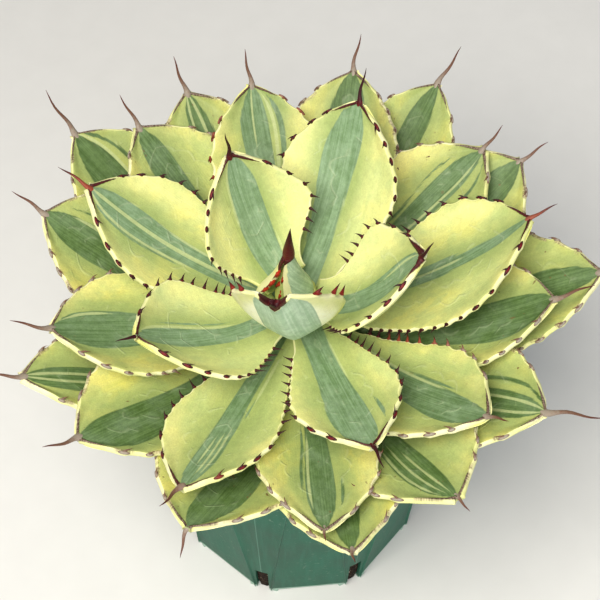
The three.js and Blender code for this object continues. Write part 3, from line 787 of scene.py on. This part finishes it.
def add_teeth(body, leaf):
    for side, hand in enumerate((-1, 1)):
        shares, sizes, _ = leaf.teeth[side]
        for share, size in zip(shares, sizes):
            point, forward, outward, off = face_frame(leaf, share, hand, hand)
            add_tooth(body, point + outward * 0.3 - off * 0.35, outward, forward, off,
                      float(ease(size * 1.5 - 0.35)) / leaf.stout, leaf.random, leaf.stout,
                      age=leaf.age * mix(*TOOTH_RIPENESS, share), seed=leaf.n + share)


SPINE_RADII = np.array([0.5, 1.0, 1.3, 1.2, 1.02, 0.9, 0.8, 0.71, 0.62, 0.52, 0.4, 0.26, 0.07])
SPINE_FLARE = np.array([0.5, 1.3, 1.75, 1.5, 1.15, 0.95, 0.82, 0.72, 0.62, 0.52, 0.4, 0.26, 0.07])
SPINE_ROOT = 3.5  # mm that it runs back into the blade
SPINE_WANDER = 0.14  # share of its length
SPINE_SIDES = 12
SPINE_RIPENESS = (0.165, 0.585)  # in the newest leaf and in the oldest


def add_spine(body, leaf):
    tip, forward, lip, off = face_frame(leaf, 1.0, 0.0)
    tip = tip - off * 0.5
    level = math.cos(leaf.spine_rise)
    run = [level * math.cos(leaf.azimuth), level * math.sin(leaf.azimuth), math.sin(leaf.spine_rise)]
    line = bend_line(tip - forward * SPINE_ROOT - off * 0.4, tip + forward * 0.2 * leaf.spine,
                     tip + np.array(run) * leaf.spine, len(SPINE_RADII))
    t = np.linspace(0, 1, len(SPINE_RADII))[:, None]
    line = line + lip * np.sin(t * 7 + leaf.n) * t * (1 - t) * SPINE_WANDER * leaf.spine
    thick = min(1.0, 0.6 + leaf.spine / 50)
    add_horn(body, line, SPINE_FLARE * thick, SPINE_RADII * thick * 0.9, lip, SPINE_SIDES,
             0.15 + 0.85 * t[:, 0], age=mix(*SPINE_RIPENESS, leaf.age), seed=leaf.n + 0.5)


# %% [markdown]
# ## The leaf's finish
#
# From a step away a leaf is three colours: cream to lime margins, a sage seam, and the blue-green
# band under a powdery bloom. Close up it has fine veins, pale scalloped prints that the neighbours'
# teeth left while all of them were packed in the bud, and tiny pores. The rim and the underside
# near it are cream. All of it reads the fields that the mesh carries, so it holds from every side.

# %% Leaf finish
def make_leaf_finish():
    f = Finish("leaf_skin", gloss=0.3)
    lateral = f.field("lateral")
    run = f.field("run")
    seed = f.field("seed") * 13.7
    age = f.field("age")
    along = f.field("along")
    under = f.field("under")
    margin = f.field("margin")

    def cloud(across, down, shift=0, **look):
        """Noise in the leaf's own plane, with its scales per mm."""
        return f.noise(f.vector(lateral * across, run * down, seed + shift), **look)

    veins = cloud(1.4, 0.03, detail=3)
    clouds = cloud(0.07, 0.05)
    drifts = cloud(0.3, 0.02)
    pores = cloud(2.2, 1.3)
    patches = cloud(0.16, 0.09, 7, detail=3)
    mottle = cloud(0.4, 0.3, 3, detail=4, roughness=0.7)

    yellow = f.ramp(clouds, 0.38, 0.64, (218, 210, 104), (196, 202, 120))
    yellow = f.blend(f.step(drifts, 0.48, 0.75) * 0.35, yellow, (176, 190, 98))
    yellow = f.blend(f.step(patches, 0.46, 0.6) * 0.5, yellow, (160, 180, 106))
    yellow = f.blend(f.step(age, 0.36, 0.05) * 0.6, yellow, (222, 226, 164))
    yellow = f.blend(f.field("grey") * 0.55, yellow, (168, 184, 122))
    # Painted light: the newest leaves and the heart are painted near white, paler than their own cream, to
    # stand for light the lamps don't give them.
    yellow = f.ramp(age, 0.05, 0.022, yellow, (254, 252, 222))
    # Painted highlight: within 13 mm of the margin and towards the tip the face is painted paler, most on
    # young leaves, as if light caught it.
    painted_highlight = f.step(margin, 13, 1) * f.step(along, 0.3, 0.75) * f.step(clouds, 0.66, 0.4)
    margins = f.blend(painted_highlight * f.step(age, 1.1, 0) * 0.8, yellow, (238, 230, 150))
    margins = f.blend(f.step(veins, 0.45, 0.75) * 0.2, margins, (216, 216, 146))

    ragged = (veins - 0.5) * 1.4 + (drifts - 0.5) * 2.0
    green = f.field("green") + ragged
    seam = f.step(green, -15, 0.5) ** 1.4 * (0.45 + clouds * 0.9) * f.step(age, 0.01, 0.06)
    sage = f.blend(seam, margins, (148, 164, 98))
    fibres = f.step(veins * 0.65 + mottle * 0.35, 0.36, 0.66)
    # The newest leaves' band is pale blue-green by its own colour, painted paler still as painted light
    # where the lamps leave it in shade.
    newborn_band_with_painted_light = f.blend(fibres, (158, 184, 152), (190, 208, 182))
    young_band = f.blend(fibres, (100, 128, 86), (128, 154, 118))
    # Older leaves' band: partly their own darker green, partly painted shade and yellow bounce light.
    old_band_with_painted_shade = f.blend(fibres, (72, 98, 46), (98, 124, 72))
    band = f.ramp(age, 0.03, 0.06, newborn_band_with_painted_light, young_band)
    band = f.ramp(age, 0.12, 0.62, band, old_band_with_painted_shade)
    bloom = cloud(0.12, 0.1, 5, detail=3)
    band = f.blend(f.step(bloom, 0.35, 0.75) * (0.42 - age * 0.3), band, (146, 168, 138))
    band = f.tint(band, 1 - f.step(green, 1.6, 0.2) * 0.12)
    colour = f.ramp(green, -0.35, 0.35, sage, band)
    pale = f.step(f.field("pale") + (veins - 0.5) * 0.5, -0.3, 0.2)
    colour = f.blend(pale * 0.7, colour, (186, 196, 138))

    wave = abs(run.math("SINE", run * 0.33 + lateral * 0.05 + seed)) * 2.6
    fringe = margin + wave + cloud(0.03, 0.05, 9, detail=0) * 9
    ripple = run.math("PINGPONG", fringe * 0.11, 0.5)
    prints = f.step(ripple, 0.12, 0.0) * f.step(bloom, 0.47, 0.56) * f.step(margin, 3, 6) * (1 - under)
    colour = f.blend(prints * (0.16 - age * 0.08), colour, (210, 218, 180))
    colour = f.tint(colour, 0.7 + pores * 0.38 + mottle * 0.46 - f.step(age, 0, 0.5) * 0.14)
    spots = cloud(0.45, 0.25, 21, detail=1)
    scar = f.step(spots, 0.75, 0.79) * f.step(age, 0.25, 0.6)
    colour = f.blend(scar * 0.8, colour, (112, 84, 52))

    belly = under * f.step(margin, 10, 2) * (1 - f.step(green, -0.35, 0.35) * f.step(age, 0.05, 0.03))
    rim = f.step(margin, 0.25, 0.0)
    cream = f.ramp(clouds, 0.35, 0.65, (242, 238, 188), (228, 229, 150))
    colour = f.blend(belly.math("MAXIMUM", belly, rim * 0.9), colour, f.tint(cream, 0.86 + mottle * 0.28))
    corky = f.step(margin, 1.2, 0.3) * f.step(under, 0.6, 0.3) * f.step(age, 0.3, 0.65)
    corky = corky * f.step(f.noise(f.vector(run * 0.16, lateral * 0.1, seed + 31), detail=3), 0.5, 0.6)
    colour = f.blend(corky * 0.75, colour, f.ramp(pores, 0.4, 0.6, (104, 84, 62), (186, 168, 134)))

    horn = f.step(f.field("border") - under * 2.4 + (veins - 0.5) * 0.5, -0.1, 0.3)
    young_horn = f.ramp(pores, 0.3, 0.7, (52, 10, 16), (84, 20, 22))
    old_horn = f.ramp(pores, 0.35, 0.65, (78, 58, 46), (142, 122, 106))
    horn_colour = f.ramp(age, 0.26, 0.42, young_horn, old_horn)
    f.feed(base_color=f.blend(horn, colour, horn_colour), roughness=0.46 + pores * 0.16)
    f.bump(veins * 0.3 + pores * 0.25 + prints * 0.5 + horn, 0.0003)
    return f


def make_horn_finish():
    f = Finish("horn", gloss=0.3)
    share = f.field("horn")
    age = f.field("age")
    grain = f.noise(f.place(), scale=900, detail=3)
    newborn = f.ramp(share, 0.3, 0.9, (186, 46, 22), (70, 10, 14))
    young = f.ramp(share, 0.05, 0.5, (118, 16, 24), (50, 8, 14))
    grown = f.ramp(share + (grain - 0.5) * 0.4, 0.45, 0.95, (142, 64, 44), (66, 18, 16))
    old = f.ramp(share + (grain - 0.5) * 0.5, 0.25, 0.7, (154, 142, 128), (112, 78, 62))
    old = f.ramp(share, 0.7, 0.98, old, (86, 30, 24))
    colour = f.ramp(age, 0.005, 0.027, newborn, young)
    colour = f.ramp(age, 0.25, 0.258, colour, grown)
    colour = f.ramp(age, 0.268, 0.3, colour, old)
    f.feed(base_color=f.tint(colour, 0.7 + grain * 0.6), roughness=0.35 + grain * 0.3)
    f.bump(grain, 0.0002)
    return f


leaf_finish = make_leaf_finish()
horn_finish = make_horn_finish()

# %% [markdown]
# ## The rosette
#
# The plant doesn't stand quite upright: it leans a little to the front and to the left, as a top
# heavy rosette does in a pot. Everything above is worked out upright, and leaned as one here.

# %% Leaning and placing the leaves
PIVOT = np.array([0, 0, 150.0])
SHIFT = np.array([1.7, 0.3, 0])
FRONT_LEAN = math.radians(7.2)
LEFT_LEAN = math.radians(-2)


def lean(points):
    x, y, z = (points - PIVOT).T
    c, s = math.cos(FRONT_LEAN), math.sin(FRONT_LEAN)
    y, z = y * c - z * s, y * s + z * c
    c, s = math.cos(LEFT_LEAN), math.sin(LEFT_LEAN)
    return np.stack([x * c + z * s, y, z * c - x * s], -1) + PIVOT + SHIFT


for n in range(LEAVES):
    leaf = Leaf(n)
    place_teeth(leaf)
    body = Body()
    add_blade(body, leaf)
    add_spine(body, leaf)
    add_teeth(body, leaf)
    node = f"leaf_{n + 1:02d}"
    body.make(f"agave_{node}", node, [leaf_finish, horn_finish], lean)

# %% [markdown]
# ## The heart
#
# In the middle one leaf is still rolled into a spire. It is a cone open by a slit towards the front
# left, one lip of it already leaning out, and all its top is a broad dark spike. Through the slit
# shows the next leaf, a closed bud with its teeth pressed flat against it.

# %% Heart leaf and bud
HEART_AZIMUTH = math.radians(46)
HEART_WRAP = (150.0, 172.0)  # degrees to each lip, at the foot and at the top
HEART_FOOT = 208.0
HEART_LENGTH = 31.0
HEART_RADII = (2.5, 9.8)  # at the top and at the foot
HEART_TAPER = 1.3
HEART_WALL = (3.4, 1.4)  # mm thick, at the foot and at the top
HEART_LEAN = (-2.6, 0.2)  # mm along X at the foot, and what the top adds to it
HEART_LIP_LEAN = 6.0  # mm that one lip stands out at the foot
HEART_BAND = (-0.56, 0.34)  # middle and half width, shares across
HEART_TEETH = (0.3, 0.5, 0.72)  # shares of the height
HEART_AGE = 0.015  # on the scale of the leaves' ages
HEART_ROWS = 40
HEART_COLUMNS = 65
HEART_SEED = 46
SPIKE_LENGTH = 25.0
SPIKE_ROOT = 3  # mm that it starts below the leaf's end
SPIKE_AGE = 0.08
SPIKE_SIDES = 18
SPIKE_RADII = np.array([1.7, 2.3, 2.62, 2.5, 2.2, 1.85, 1.5, 1.15, 0.8, 0.42, 0.07])
BUD_FOOT = 209.6
BUD_LENGTH = 24.0
BUD_RADIUS = 4.2
BUD_SHIFT = 3.4  # mm that the bud leans out into the slit
BUD_TEETH = (0.2, 0.42, 0.62)
BUD_AGE = 0.3
BUD_ROWS = 30
BUD_SIDES = 40
SLIT_AZIMUTH = math.radians(226)
FRESH = 0.005  # the age of teeth that are still red


def heart_radius(along):
    return mix(*HEART_RADII, (1 - along) ** HEART_TAPER)


def heart_points(along, across, inset):
    wrap = np.radians(mix(*HEART_WRAP, ease(along * 1.3)))
    angle = HEART_AZIMUTH + across * wrap
    radius = heart_radius(along) - inset
    radius = radius + HEART_LIP_LEAN * fade(across, 0.55, 1) * (1 - along) ** 0.7
    points = round_points(radius, angle, HEART_FOOT + along * HEART_LENGTH)
    points[..., 0] += HEART_LEAN[0] + HEART_LEAN[1] * along
    return points


def add_heart(body, random):
    along = np.linspace(0, 1, HEART_ROWS)[:, None]
    across = np.linspace(-1, 1, HEART_COLUMNS)
    wall = mix(*HEART_WALL, along**0.5) * (1 - 0.6 * across**6)
    outer = heart_points(along, across[None, :], 0)
    inner = heart_points(along, across[None, :], wall)
    lip = unit(np.gradient(outer, axis=1))
    rings = sheet_rings(inner, outer, lip, 0.5)
    half = heart_radius(along) * math.radians(HEART_WRAP[0])

    def fields(columns, edge):
        inside = (1 - np.abs(columns)) * half - edge
        middle, share = HEART_BAND
        middle = middle + 0.12 * (1 - along)
        return dict(along=along, lateral=columns * half, run=along * HEART_LENGTH, margin=inside,
                    green=(share - np.abs(columns - middle)) * half, pale=OUTSIDE,
                    border=(along - 0.9 + 0.16 * columns**4 + 0.05 * columns) * HEART_LENGTH + edge,
                    age=HEART_AGE, seed=31.5)

    add_sheet(body, rings, across, fields)
    for share in HEART_TEETH:
        here, back, ahead = (heart_points(np.array(a), np.array(c), 0.4)
                             for a, c in ((share, 0.995), (share, 0.96), (share + 0.02, 0.995)))
        add_tooth(body, here + unit(here - back) * 0.2, unit(here - back) * 0.6, unit(ahead - here),
                  unit(here * [1, 1, 0]), 0.8, random, 1.4, age=FRESH, seed=share)
    foot = np.array([sum(HEART_LEAN), 0, HEART_FOOT + HEART_LENGTH - SPIKE_ROOT])
    tip = foot + [1.8, -0.6, SPIKE_LENGTH + SPIKE_ROOT]
    line = bend_line(foot, foot + [0.2, -0.3, 12], tip, len(SPIKE_RADII))
    add_horn(body, line, SPIKE_RADII, SPIKE_RADII * 0.9, np.array([1.0, -0.15, 0]), SPIKE_SIDES,
             np.linspace(0.15, 0.5, len(SPIKE_RADII)), age=SPIKE_AGE, seed=31)


def bud_radius(along):
    return BUD_RADIUS * (1 - along**1.7) ** 0.8


def bud_axis(along):
    """The middle of the bud, which leans out into the slit at its foot."""
    axis = round_points(BUD_SHIFT * (1 - 0.8 * along), SLIT_AZIMUTH, BUD_FOOT + BUD_LENGTH * along)
    return axis + [HEART_LEAN[0], 0, 0]


def add_bud(body, random):
    turn = turns(BUD_SIDES)[None, :]
    along = np.linspace(0, 1, BUD_ROWS)[:, None]
    fold = 0.16 * np.maximum(0, np.cos(turn - along * 1.4 - 3.9)) ** 8
    points = round_points((bud_radius(along) + 0.25) * (1 + fold), turn, 0) + bud_axis(along)
    body.add(points, loft_quads(BUD_ROWS, BUD_SIDES), along=along, lateral=turn * 4,
             run=along * BUD_LENGTH, margin=8, green=-6, pale=OUTSIDE, border=(along - 0.9) * 9,
             age=BUD_AGE, seed=33.5)
    for number, share in enumerate(BUD_TEETH):
        turn = SLIT_AZIMUTH + (-0.25 if number == 1 else 0.25)
        way = round_points(1, turn, 0)
        around = round_points(1, turn + math.pi / 2, 0)
        here = way * bud_radius(share) + bud_axis(share)
        add_tooth(body, here, way * 0.5 - around * 0.3, np.array([0, 0, 1.0]), way, 0.8, random, 1.5,
                  age=FRESH, seed=share)


heart_random = np.random.default_rng(HEART_SEED)
heart = Body()
add_heart(heart, heart_random)
heart.make("agave_heart_leaf", "heart_leaf", [leaf_finish, horn_finish], lean)
bud = Body()
add_bud(bud, heart_random)
bud.make("agave_bud", "bud", [leaf_finish, horn_finish], lean)

# %% [markdown]
# ## The stem
#
# The stem is short, and no more than the stack of the places where leaves sit. Its bark is the dry
# fibrous remains of leaf bases, so it gets rows of low scars and a finish of straw-coloured fibres.
# The rows wind five one way and eight the other, which is what a golden angle leads to.

# %% Stem
STEM_BARK = 1.2  # mm that the stem reaches into the leaves' feet
STEM_PROFILE = [(7, 112), (11, 112.4)] + [  # radius and height
    (law("base_reach", n) + STEM_BARK, law("base_height", n)) for n in (34, 27, 18, 10, 4, 0)
] + [(4.2, 208.4), (3.6, 209.3)]
STEM_ROWS = 90
STEM_SIDES = 72
SCAR_DEPTH = 0.35


def add_stem(body):
    radii, heights = np.array(STEM_PROFILE).T
    height = np.linspace(heights[0], heights[-1], STEM_ROWS)[:, None]
    turn = turns(STEM_SIDES)[None, :]
    scars = np.sin(turn * 5 + height * 0.9) * np.sin(turn * 8 - height * 0.55)
    radius = np.interp(height, heights, radii) - SCAR_DEPTH + SCAR_DEPTH * scars
    body.add(round_points(radius, turn, height), loft_quads(STEM_ROWS, STEM_SIDES))


def make_stem_finish():
    f = Finish("dry_fibres", gloss=0.2)
    fibres = f.noise(f.stretched(900, 900, 90), detail=4)
    patches = f.noise(f.place(), scale=90, detail=3)
    straw = f.ramp(fibres, 0.35, 0.65, (116, 92, 58), (176, 156, 108))
    colour = f.ramp(patches, 0.5, 0.7, straw, (78, 58, 40))
    colour = f.ramp(f.height(), 0.188, 0.2, colour, (186, 192, 122))
    f.feed(base_color=colour, roughness=0.75 + fibres * 0.2)
    f.bump(fibres, 0.0006)
    return f


stem = Body()
add_stem(stem)
stem.make("agave_stem", "stem", [make_stem_finish()], lean)

# %% [markdown]
# ## The pot
#
# The pot is one thin moulding of plastic: eight flat panels, wide at the foot and narrow at the
# top, where the pot turns round. A fine rib runs up each side of every corner, and a slit lets
# water out at its foot. The wall is a grid of cells with an outer and an inner point at each
# crossing. The cells in the slits are left out, and the open sides of the others are walled.

# %% Pot
POT_HEIGHT = 155.0
POT_FOOT = 1.5  # the panels stand this far above the ground
POT_WALL = 1.8
POT_FLOOR = 2.4
POT_RADII = (61.2, 72.4)  # out to a rib, at the bottom and at the top
PANELS = 8
PANEL_HALF_ANGLES = (18.7, 6.0)  # at the bottom and at the top
POT_TURN = 5.3  # degrees
SLIT_HALF = 3.3
SLIT_HEIGHT = 26.0
SLIT_REACH = 46.2  # the radius in the floor where a slit ends
RIB = 0.9  # mm that it stands out
CORNER_RIDGE = 0.5  # mm, above a slit
SECTOR = [-1, -0.9, -0.75, -0.6, -0.46, -0.42, -0.4, -0.38, -0.3, -0.15,
          0, 0.15, 0.3, 0.38, 0.4, 0.42, 0.46, 0.6, 0.75, 0.9]  # from a panel's middle to the next
SLIT_COLUMN = 0.3
RIB_COLUMN = 0.4
FOOT_BLOCK = (2.2, 2.15, 1.25)  # half sizes of the small feet: outwards, across and up
FOOT_INSET = 2.85  # mm in from the rib
FOOT_BESIDE = 2.2  # mm from a slit's side
RIM_PROFILE = [  # out from the panels' top, and height
    (-1.8, 152.6), (1.5, 152.6), (1.6, 152.4), (1.6, 149.2), (1.8, 149), (2.8, 149), (3, 149.2),
    (3, 154), (2.7, 154.6), (2.1, 155), (-1.5, 155), (-1.8, 154.7)]
ROUND_FOOT = [(13, 0.2), (13.2, 0), (15.8, 0), (16, 0.2), (16, 2.4), (13, 2.4)]  # radius and height


def corner_angle(panel):
    return math.radians(POT_TURN - 90) + (panel + 0.5) * 2 * math.pi / PANELS


def turned(out, across, angle):
    """A place that is out from a corner's line and across it, as x and y."""
    return (out * math.cos(angle) - across * math.sin(angle),
            out * math.sin(angle) + across * math.cos(angle))


def pot_ring(height, radius_share=1.0, inset=0.0, rib=0.0):
    """The pot's outline at a height: a corner's slit and ribs keep to the same columns."""
    up = height / POT_HEIGHT
    radius = mix(*POT_RADII, up) * radius_share
    half = math.radians(mix(*PANEL_HALF_ANGLES, up))
    pitch = 2 * math.pi / PANELS
    crease = pitch / 2 - half
    slit = math.asin(min(SLIT_HALF / radius, 0.9))
    marks = [0, SLIT_COLUMN, RIB_COLUMN, 1]
    ring = []
    for panel in range(PANELS):
        corner = corner_angle(panel)
        for share in SECTOR:
            edge = abs(share)
            turn = np.interp(edge, marks, [0, min(slit, crease * 0.8), crease, pitch / 2])
            flat = math.cos(half) / math.cos(pitch / 2 - turn) if turn > crease else 1.0
            ridge = CORNER_RIDGE if edge == 0 and height > SLIT_HEIGHT and rib else 0
            out = radius * flat - inset + (rib if edge == RIB_COLUMN else ridge)
            angle = corner + math.copysign(turn, share)
            ring.append((out * math.cos(angle), out * math.sin(angle), height))
    return ring


def thick_sheet(outer, inner, keep):
    """Quads of a sheet that closes on itself round the columns; keep says which cells are there."""
    rows, columns = outer.shape[:2]
    index = np.arange(rows * columns).reshape(rows, columns)
    deep = rows * columns
    quads = []
    for i in range(rows - 1):
        for j in np.nonzero(keep[i])[0]:
            k = (j + 1) % columns
            a, b, c, d = index[i, j], index[i, k], index[i + 1, k], index[i + 1, j]
            quads += [[a, b, c, d], [d + deep, c + deep, b + deep, a + deep]]
            for p, q, row, column in ((a, b, i - 1, j), (b, c, i, k), (c, d, i + 1, j), (d, a, i, j - 1)):
                if not 0 <= row < rows - 1 or not keep[row, column]:
                    quads.append([q, p, p + deep, q + deep])
    return quads


def add_block(body, centre, half, angle):
    """A block with rounded upright edges, turned round Z."""
    turn = turns(20)
    outline = np.array([np.sign(way) * np.abs(way) ** 0.35 * size
                        for way, size in zip((np.cos(turn), np.sin(turn)), half)])
    rings = []
    for height, share in ((-1, 0.9), (-0.8, 1), (0.8, 1), (1, 0.9)):
        x, y = turned(*(outline * share), angle)
        rings.append(np.stack([x, y, 0 * x + height * half[2]], -1))
    body.add(np.array(rings) + centre, loft_quads(len(rings), len(turn)))


def add_lathe_ring(body, profile, sides):
    """A closed outline turned round Z."""
    radius, height = np.array(profile).T
    points = round_points(radius, turns(sides)[:, None], height)
    index = np.arange(sides * len(profile)).reshape(sides, -1)
    ahead = np.roll(index, -1, axis=0)
    quads = np.stack([index, ahead, np.roll(ahead, -1, axis=1), np.roll(index, -1, axis=1)], -1)
    body.add(points, quads.reshape(-1, 4))


def add_pot(body):
    foot_radius = POT_RADII[0]
    rows = [(POT_FOOT, share) for share in (0.2, 0.35, 0.5, 0.64, SLIT_REACH / foot_radius, 0.85, 0.97)]
    rows += [(z, 1.0) for z in (POT_FOOT, 4, 9, 15, 20, SLIT_HEIGHT, 30, 45, 65, 85, 105, 125, 142, 154)]
    outer = np.array([pot_ring(z, share, 0, RIB if share == 1 else 0) for z, share in rows])
    inner = np.array([pot_ring(max(z, POT_FOOT + POT_FLOOR), share, POT_WALL * share) for z, share in rows])
    keep = np.ones((len(rows) - 1, outer.shape[1]), bool)
    in_slit = np.array([-SLIT_COLUMN <= share < SLIT_COLUMN for share in SECTOR] * PANELS)
    for i, ((_, share), (top, _)) in enumerate(zip(rows, rows[1:])):
        if share >= SLIT_REACH / foot_radius and top <= SLIT_HEIGHT:
            keep[i, in_slit] = False
    # The ridge field marks the corner ridges and ribs, where the finish paints a highlight.
    ridges = np.array([{0: 1, RIB_COLUMN: 0.9}.get(abs(share), 0) for share in SECTOR] * PANELS * len(rows))
    body.add(np.concatenate([outer.reshape(-1, 3), inner.reshape(-1, 3)]), thick_sheet(outer, inner, keep),
             ridge=np.concatenate([ridges, 0 * ridges]))
    add_lathe_ring(body, np.array(RIM_PROFILE) + [POT_RADII[1], 0], 128)
    for panel in range(PANELS):
        angle = corner_angle(panel)
        for side in (-1, 1):
            x, y = turned(foot_radius - FOOT_INSET, side * (SLIT_HALF + FOOT_BESIDE), angle)
            add_block(body, [x, y, FOOT_BLOCK[2]], FOOT_BLOCK, angle)
    add_lathe_ring(body, ROUND_FOOT, 64)


def make_pot_finish():
    f = Finish("pot_plastic", gloss=0.28)
    here = f.place()
    flow = f.noise(f.stretched(420, 420, 22), detail=3)
    clouds = f.noise(here, scale=38, detail=3)
    grain = f.noise(here, scale=1500, detail=2)
    scratches = f.step(f.noise(f.stretched(50, 50, 420)), 0.73, 0.77)
    dust = f.step(f.noise(here, scale=420, detail=4), 0.6, 0.72) * f.step(clouds, 0.42, 0.62)
    colour = f.ramp(clouds, 0.3, 0.7, (10, 76, 54), (18, 92, 68))
    colour = f.blend(f.step(flow, 0.4, 0.7) * 0.3, colour, (34, 108, 84))
    # Painted highlight along the corner ridges and ribs, where light catches their edges, with some wear: a
    # pale line.
    ridge = f.step(f.field("ridge"), 0.75, 1) * (0.4 + clouds * 0.8)
    colour = f.blend(ridge * 0.6, colour, (112, 158, 138))
    worn = f.step(f.height() + (clouds - 0.5) * 0.003, 0.0036, 0.0024) * 0.8
    colour = f.blend(worn, colour, (168, 196, 178))
    colour = f.blend(dust * 0.35 + scratches * 0.18, colour, (150, 168, 152))
    f.feed(base_color=f.tint(colour, 0.92 + grain * 0.16), roughness=0.42 + clouds * 0.2 + dust * 0.2)
    f.bump(grain * 0.5 + flow * 0.5 - scratches * 0.5, 0.00012)
    return f


pot = Body()
add_pot(pot)
pot.make("slit_pot", "pot", [make_pot_finish()], crisp=True)

# %% [markdown]
# ## The soil
#
# Succulents stand in a gritty mix: dark crumbs with pale pumice and burnt clay among them. The
# crumbs are painted darker still, as painted shade, so that the mix in the slits reads dark. The
# mix is one uneven body, and the larger crumbs are small stones of their own, half sunk in its
# top and in the slits.

# %% Soil and grit
SOIL_TOP = 144.0
SOIL_INSET = 2.2  # mm inside the pot's outline
SOIL_FOOT = 4.3
SLIT_SAG = 3.3  # mm that the mix hangs down into a slit
SOIL_RINGS = 26
SOIL_SEED = 144
GRITS = 520
GRIT_REACH = 66  # mm from the middle
GRIT_SIZES = (0.8, 2.3)
SLIT_GRITS = 5  # at each slit
SLIT_GRIT_REACH = (58.6, 59.6)
SLIT_GRIT_SIZES = (0.7, 1.1)


def soil_swell(x, y):
    return 0.7 * np.sin(x * 0.21 + 1) * np.cos(y * 0.17)


def add_soil(body, random):
    sides = len(SECTOR) * PANELS
    in_slit = np.array([1.0 if abs(share) < SLIT_COLUMN else 0.0 for share in SECTOR] * PANELS)
    rings = [np.array(pot_ring(SOIL_FOOT, 0.7, SOIL_INSET))]
    for height in (SOIL_FOOT, 8, 14, 19, 24, 32, 60, 100, 130, 141):
        ring = np.array(pot_ring(height, 1.0, SOIL_INSET))
        out = in_slit * (0.5 if height < SLIT_HEIGHT - 1 else 0) - random.uniform(0, 0.5, sides)
        ring[:, :2] += unit(ring[:, :2]) * out[:, None]
        if height == SOIL_FOOT:
            ring[:, 2] -= in_slit * SLIT_SAG
        rings.append(ring)
    edge = np.array(pot_ring(SOIL_TOP, 1.0, SOIL_INSET + 0.5))
    for share in np.linspace(0.985, 0.05, SOIL_RINGS):
        ring = edge * [share, share, 1]
        ring[:, 2] += soil_swell(ring[:, 0], ring[:, 1]) + random.normal(0, 0.3, sides)
        rings.append(ring)
    body.add(np.array(rings), loft_quads(len(rings), sides))


def add_stone(body, centre, size, random):
    """A lumpy stone of five small rings."""
    lean_way = unit(random.normal(0, 1, 3))
    turn = turns(7)[None, :]
    rise = np.array([-0.95, -0.6, 0, 0.6, 0.95])[:, None]
    radius = np.sqrt(1 - rise**2) * random.uniform(0.75, 1.2, (5, 7))
    points = round_points(radius, turn, rise) * random.uniform(0.7, 1.2, 3)
    points = points - 2 * (points @ lean_way)[..., None] * lean_way
    body.add(points * size + centre, loft_quads(5, 7), 1, seed=random.uniform(0, 1))


def make_soil_finish():
    f = Finish("potting_mix", gloss=0.15)
    crumbs = f.noise(f.place(), scale=500, detail=4, roughness=0.7)
    pale = f.step(f.noise(f.place(), scale=800, detail=2), 0.64, 0.7)
    # Painted shade: the crumbs are painted darker than their own brown, so that the mix in the slits reads
    # as a dark, shadowed opening.
    colour = f.ramp(crumbs, 0.35, 0.65, (20, 14, 11), (62, 46, 34))
    f.feed(base_color=f.blend(pale * 0.6, colour, (150, 136, 112)), roughness=0.85 + crumbs * 0.1)
    f.bump(crumbs, 0.0012)
    return f


def make_grit_finish():
    f = Finish("grit", gloss=0.2)
    seed = f.field("seed")
    pits = f.noise(f.place(), scale=1200, detail=3)
    clay = f.ramp(seed, 0.3, 0.34, (60, 46, 38), (146, 92, 62))
    colour = f.ramp(seed, 0.5, 0.54, clay, (196, 184, 160))
    colour = f.ramp(seed, 0.78, 0.82, colour, (120, 112, 104))
    f.feed(base_color=f.tint(colour, 0.6 + pits * 0.7), roughness=0.7 + pits * 0.3)
    f.bump(pits, 0.0004)
    return f


soil_random = np.random.default_rng(SOIL_SEED)
soil = Body()
add_soil(soil, soil_random)
for _ in range(GRITS):
    distance = GRIT_REACH * math.sqrt(soil_random.uniform(0.03, 1))
    turn = soil_random.uniform(0, 2 * math.pi)
    x, y = distance * math.cos(turn), distance * math.sin(turn)
    top = SOIL_TOP + soil_swell(x, y)
    add_stone(soil, [x, y, top + 0.2], soil_random.uniform(*GRIT_SIZES), soil_random)
for panel in range(PANELS):
    for _ in range(SLIT_GRITS):
        out = soil_random.uniform(*SLIT_GRIT_REACH)
        across = soil_random.uniform(-2.2, 2.2)
        centre = [*turned(out, across, corner_angle(panel)), soil_random.uniform(2, 22)]
        add_stone(soil, centre, soil_random.uniform(*SLIT_GRIT_SIZES), soil_random)
soil.make("potting_mix", "soil", [make_soil_finish(), make_grit_finish()])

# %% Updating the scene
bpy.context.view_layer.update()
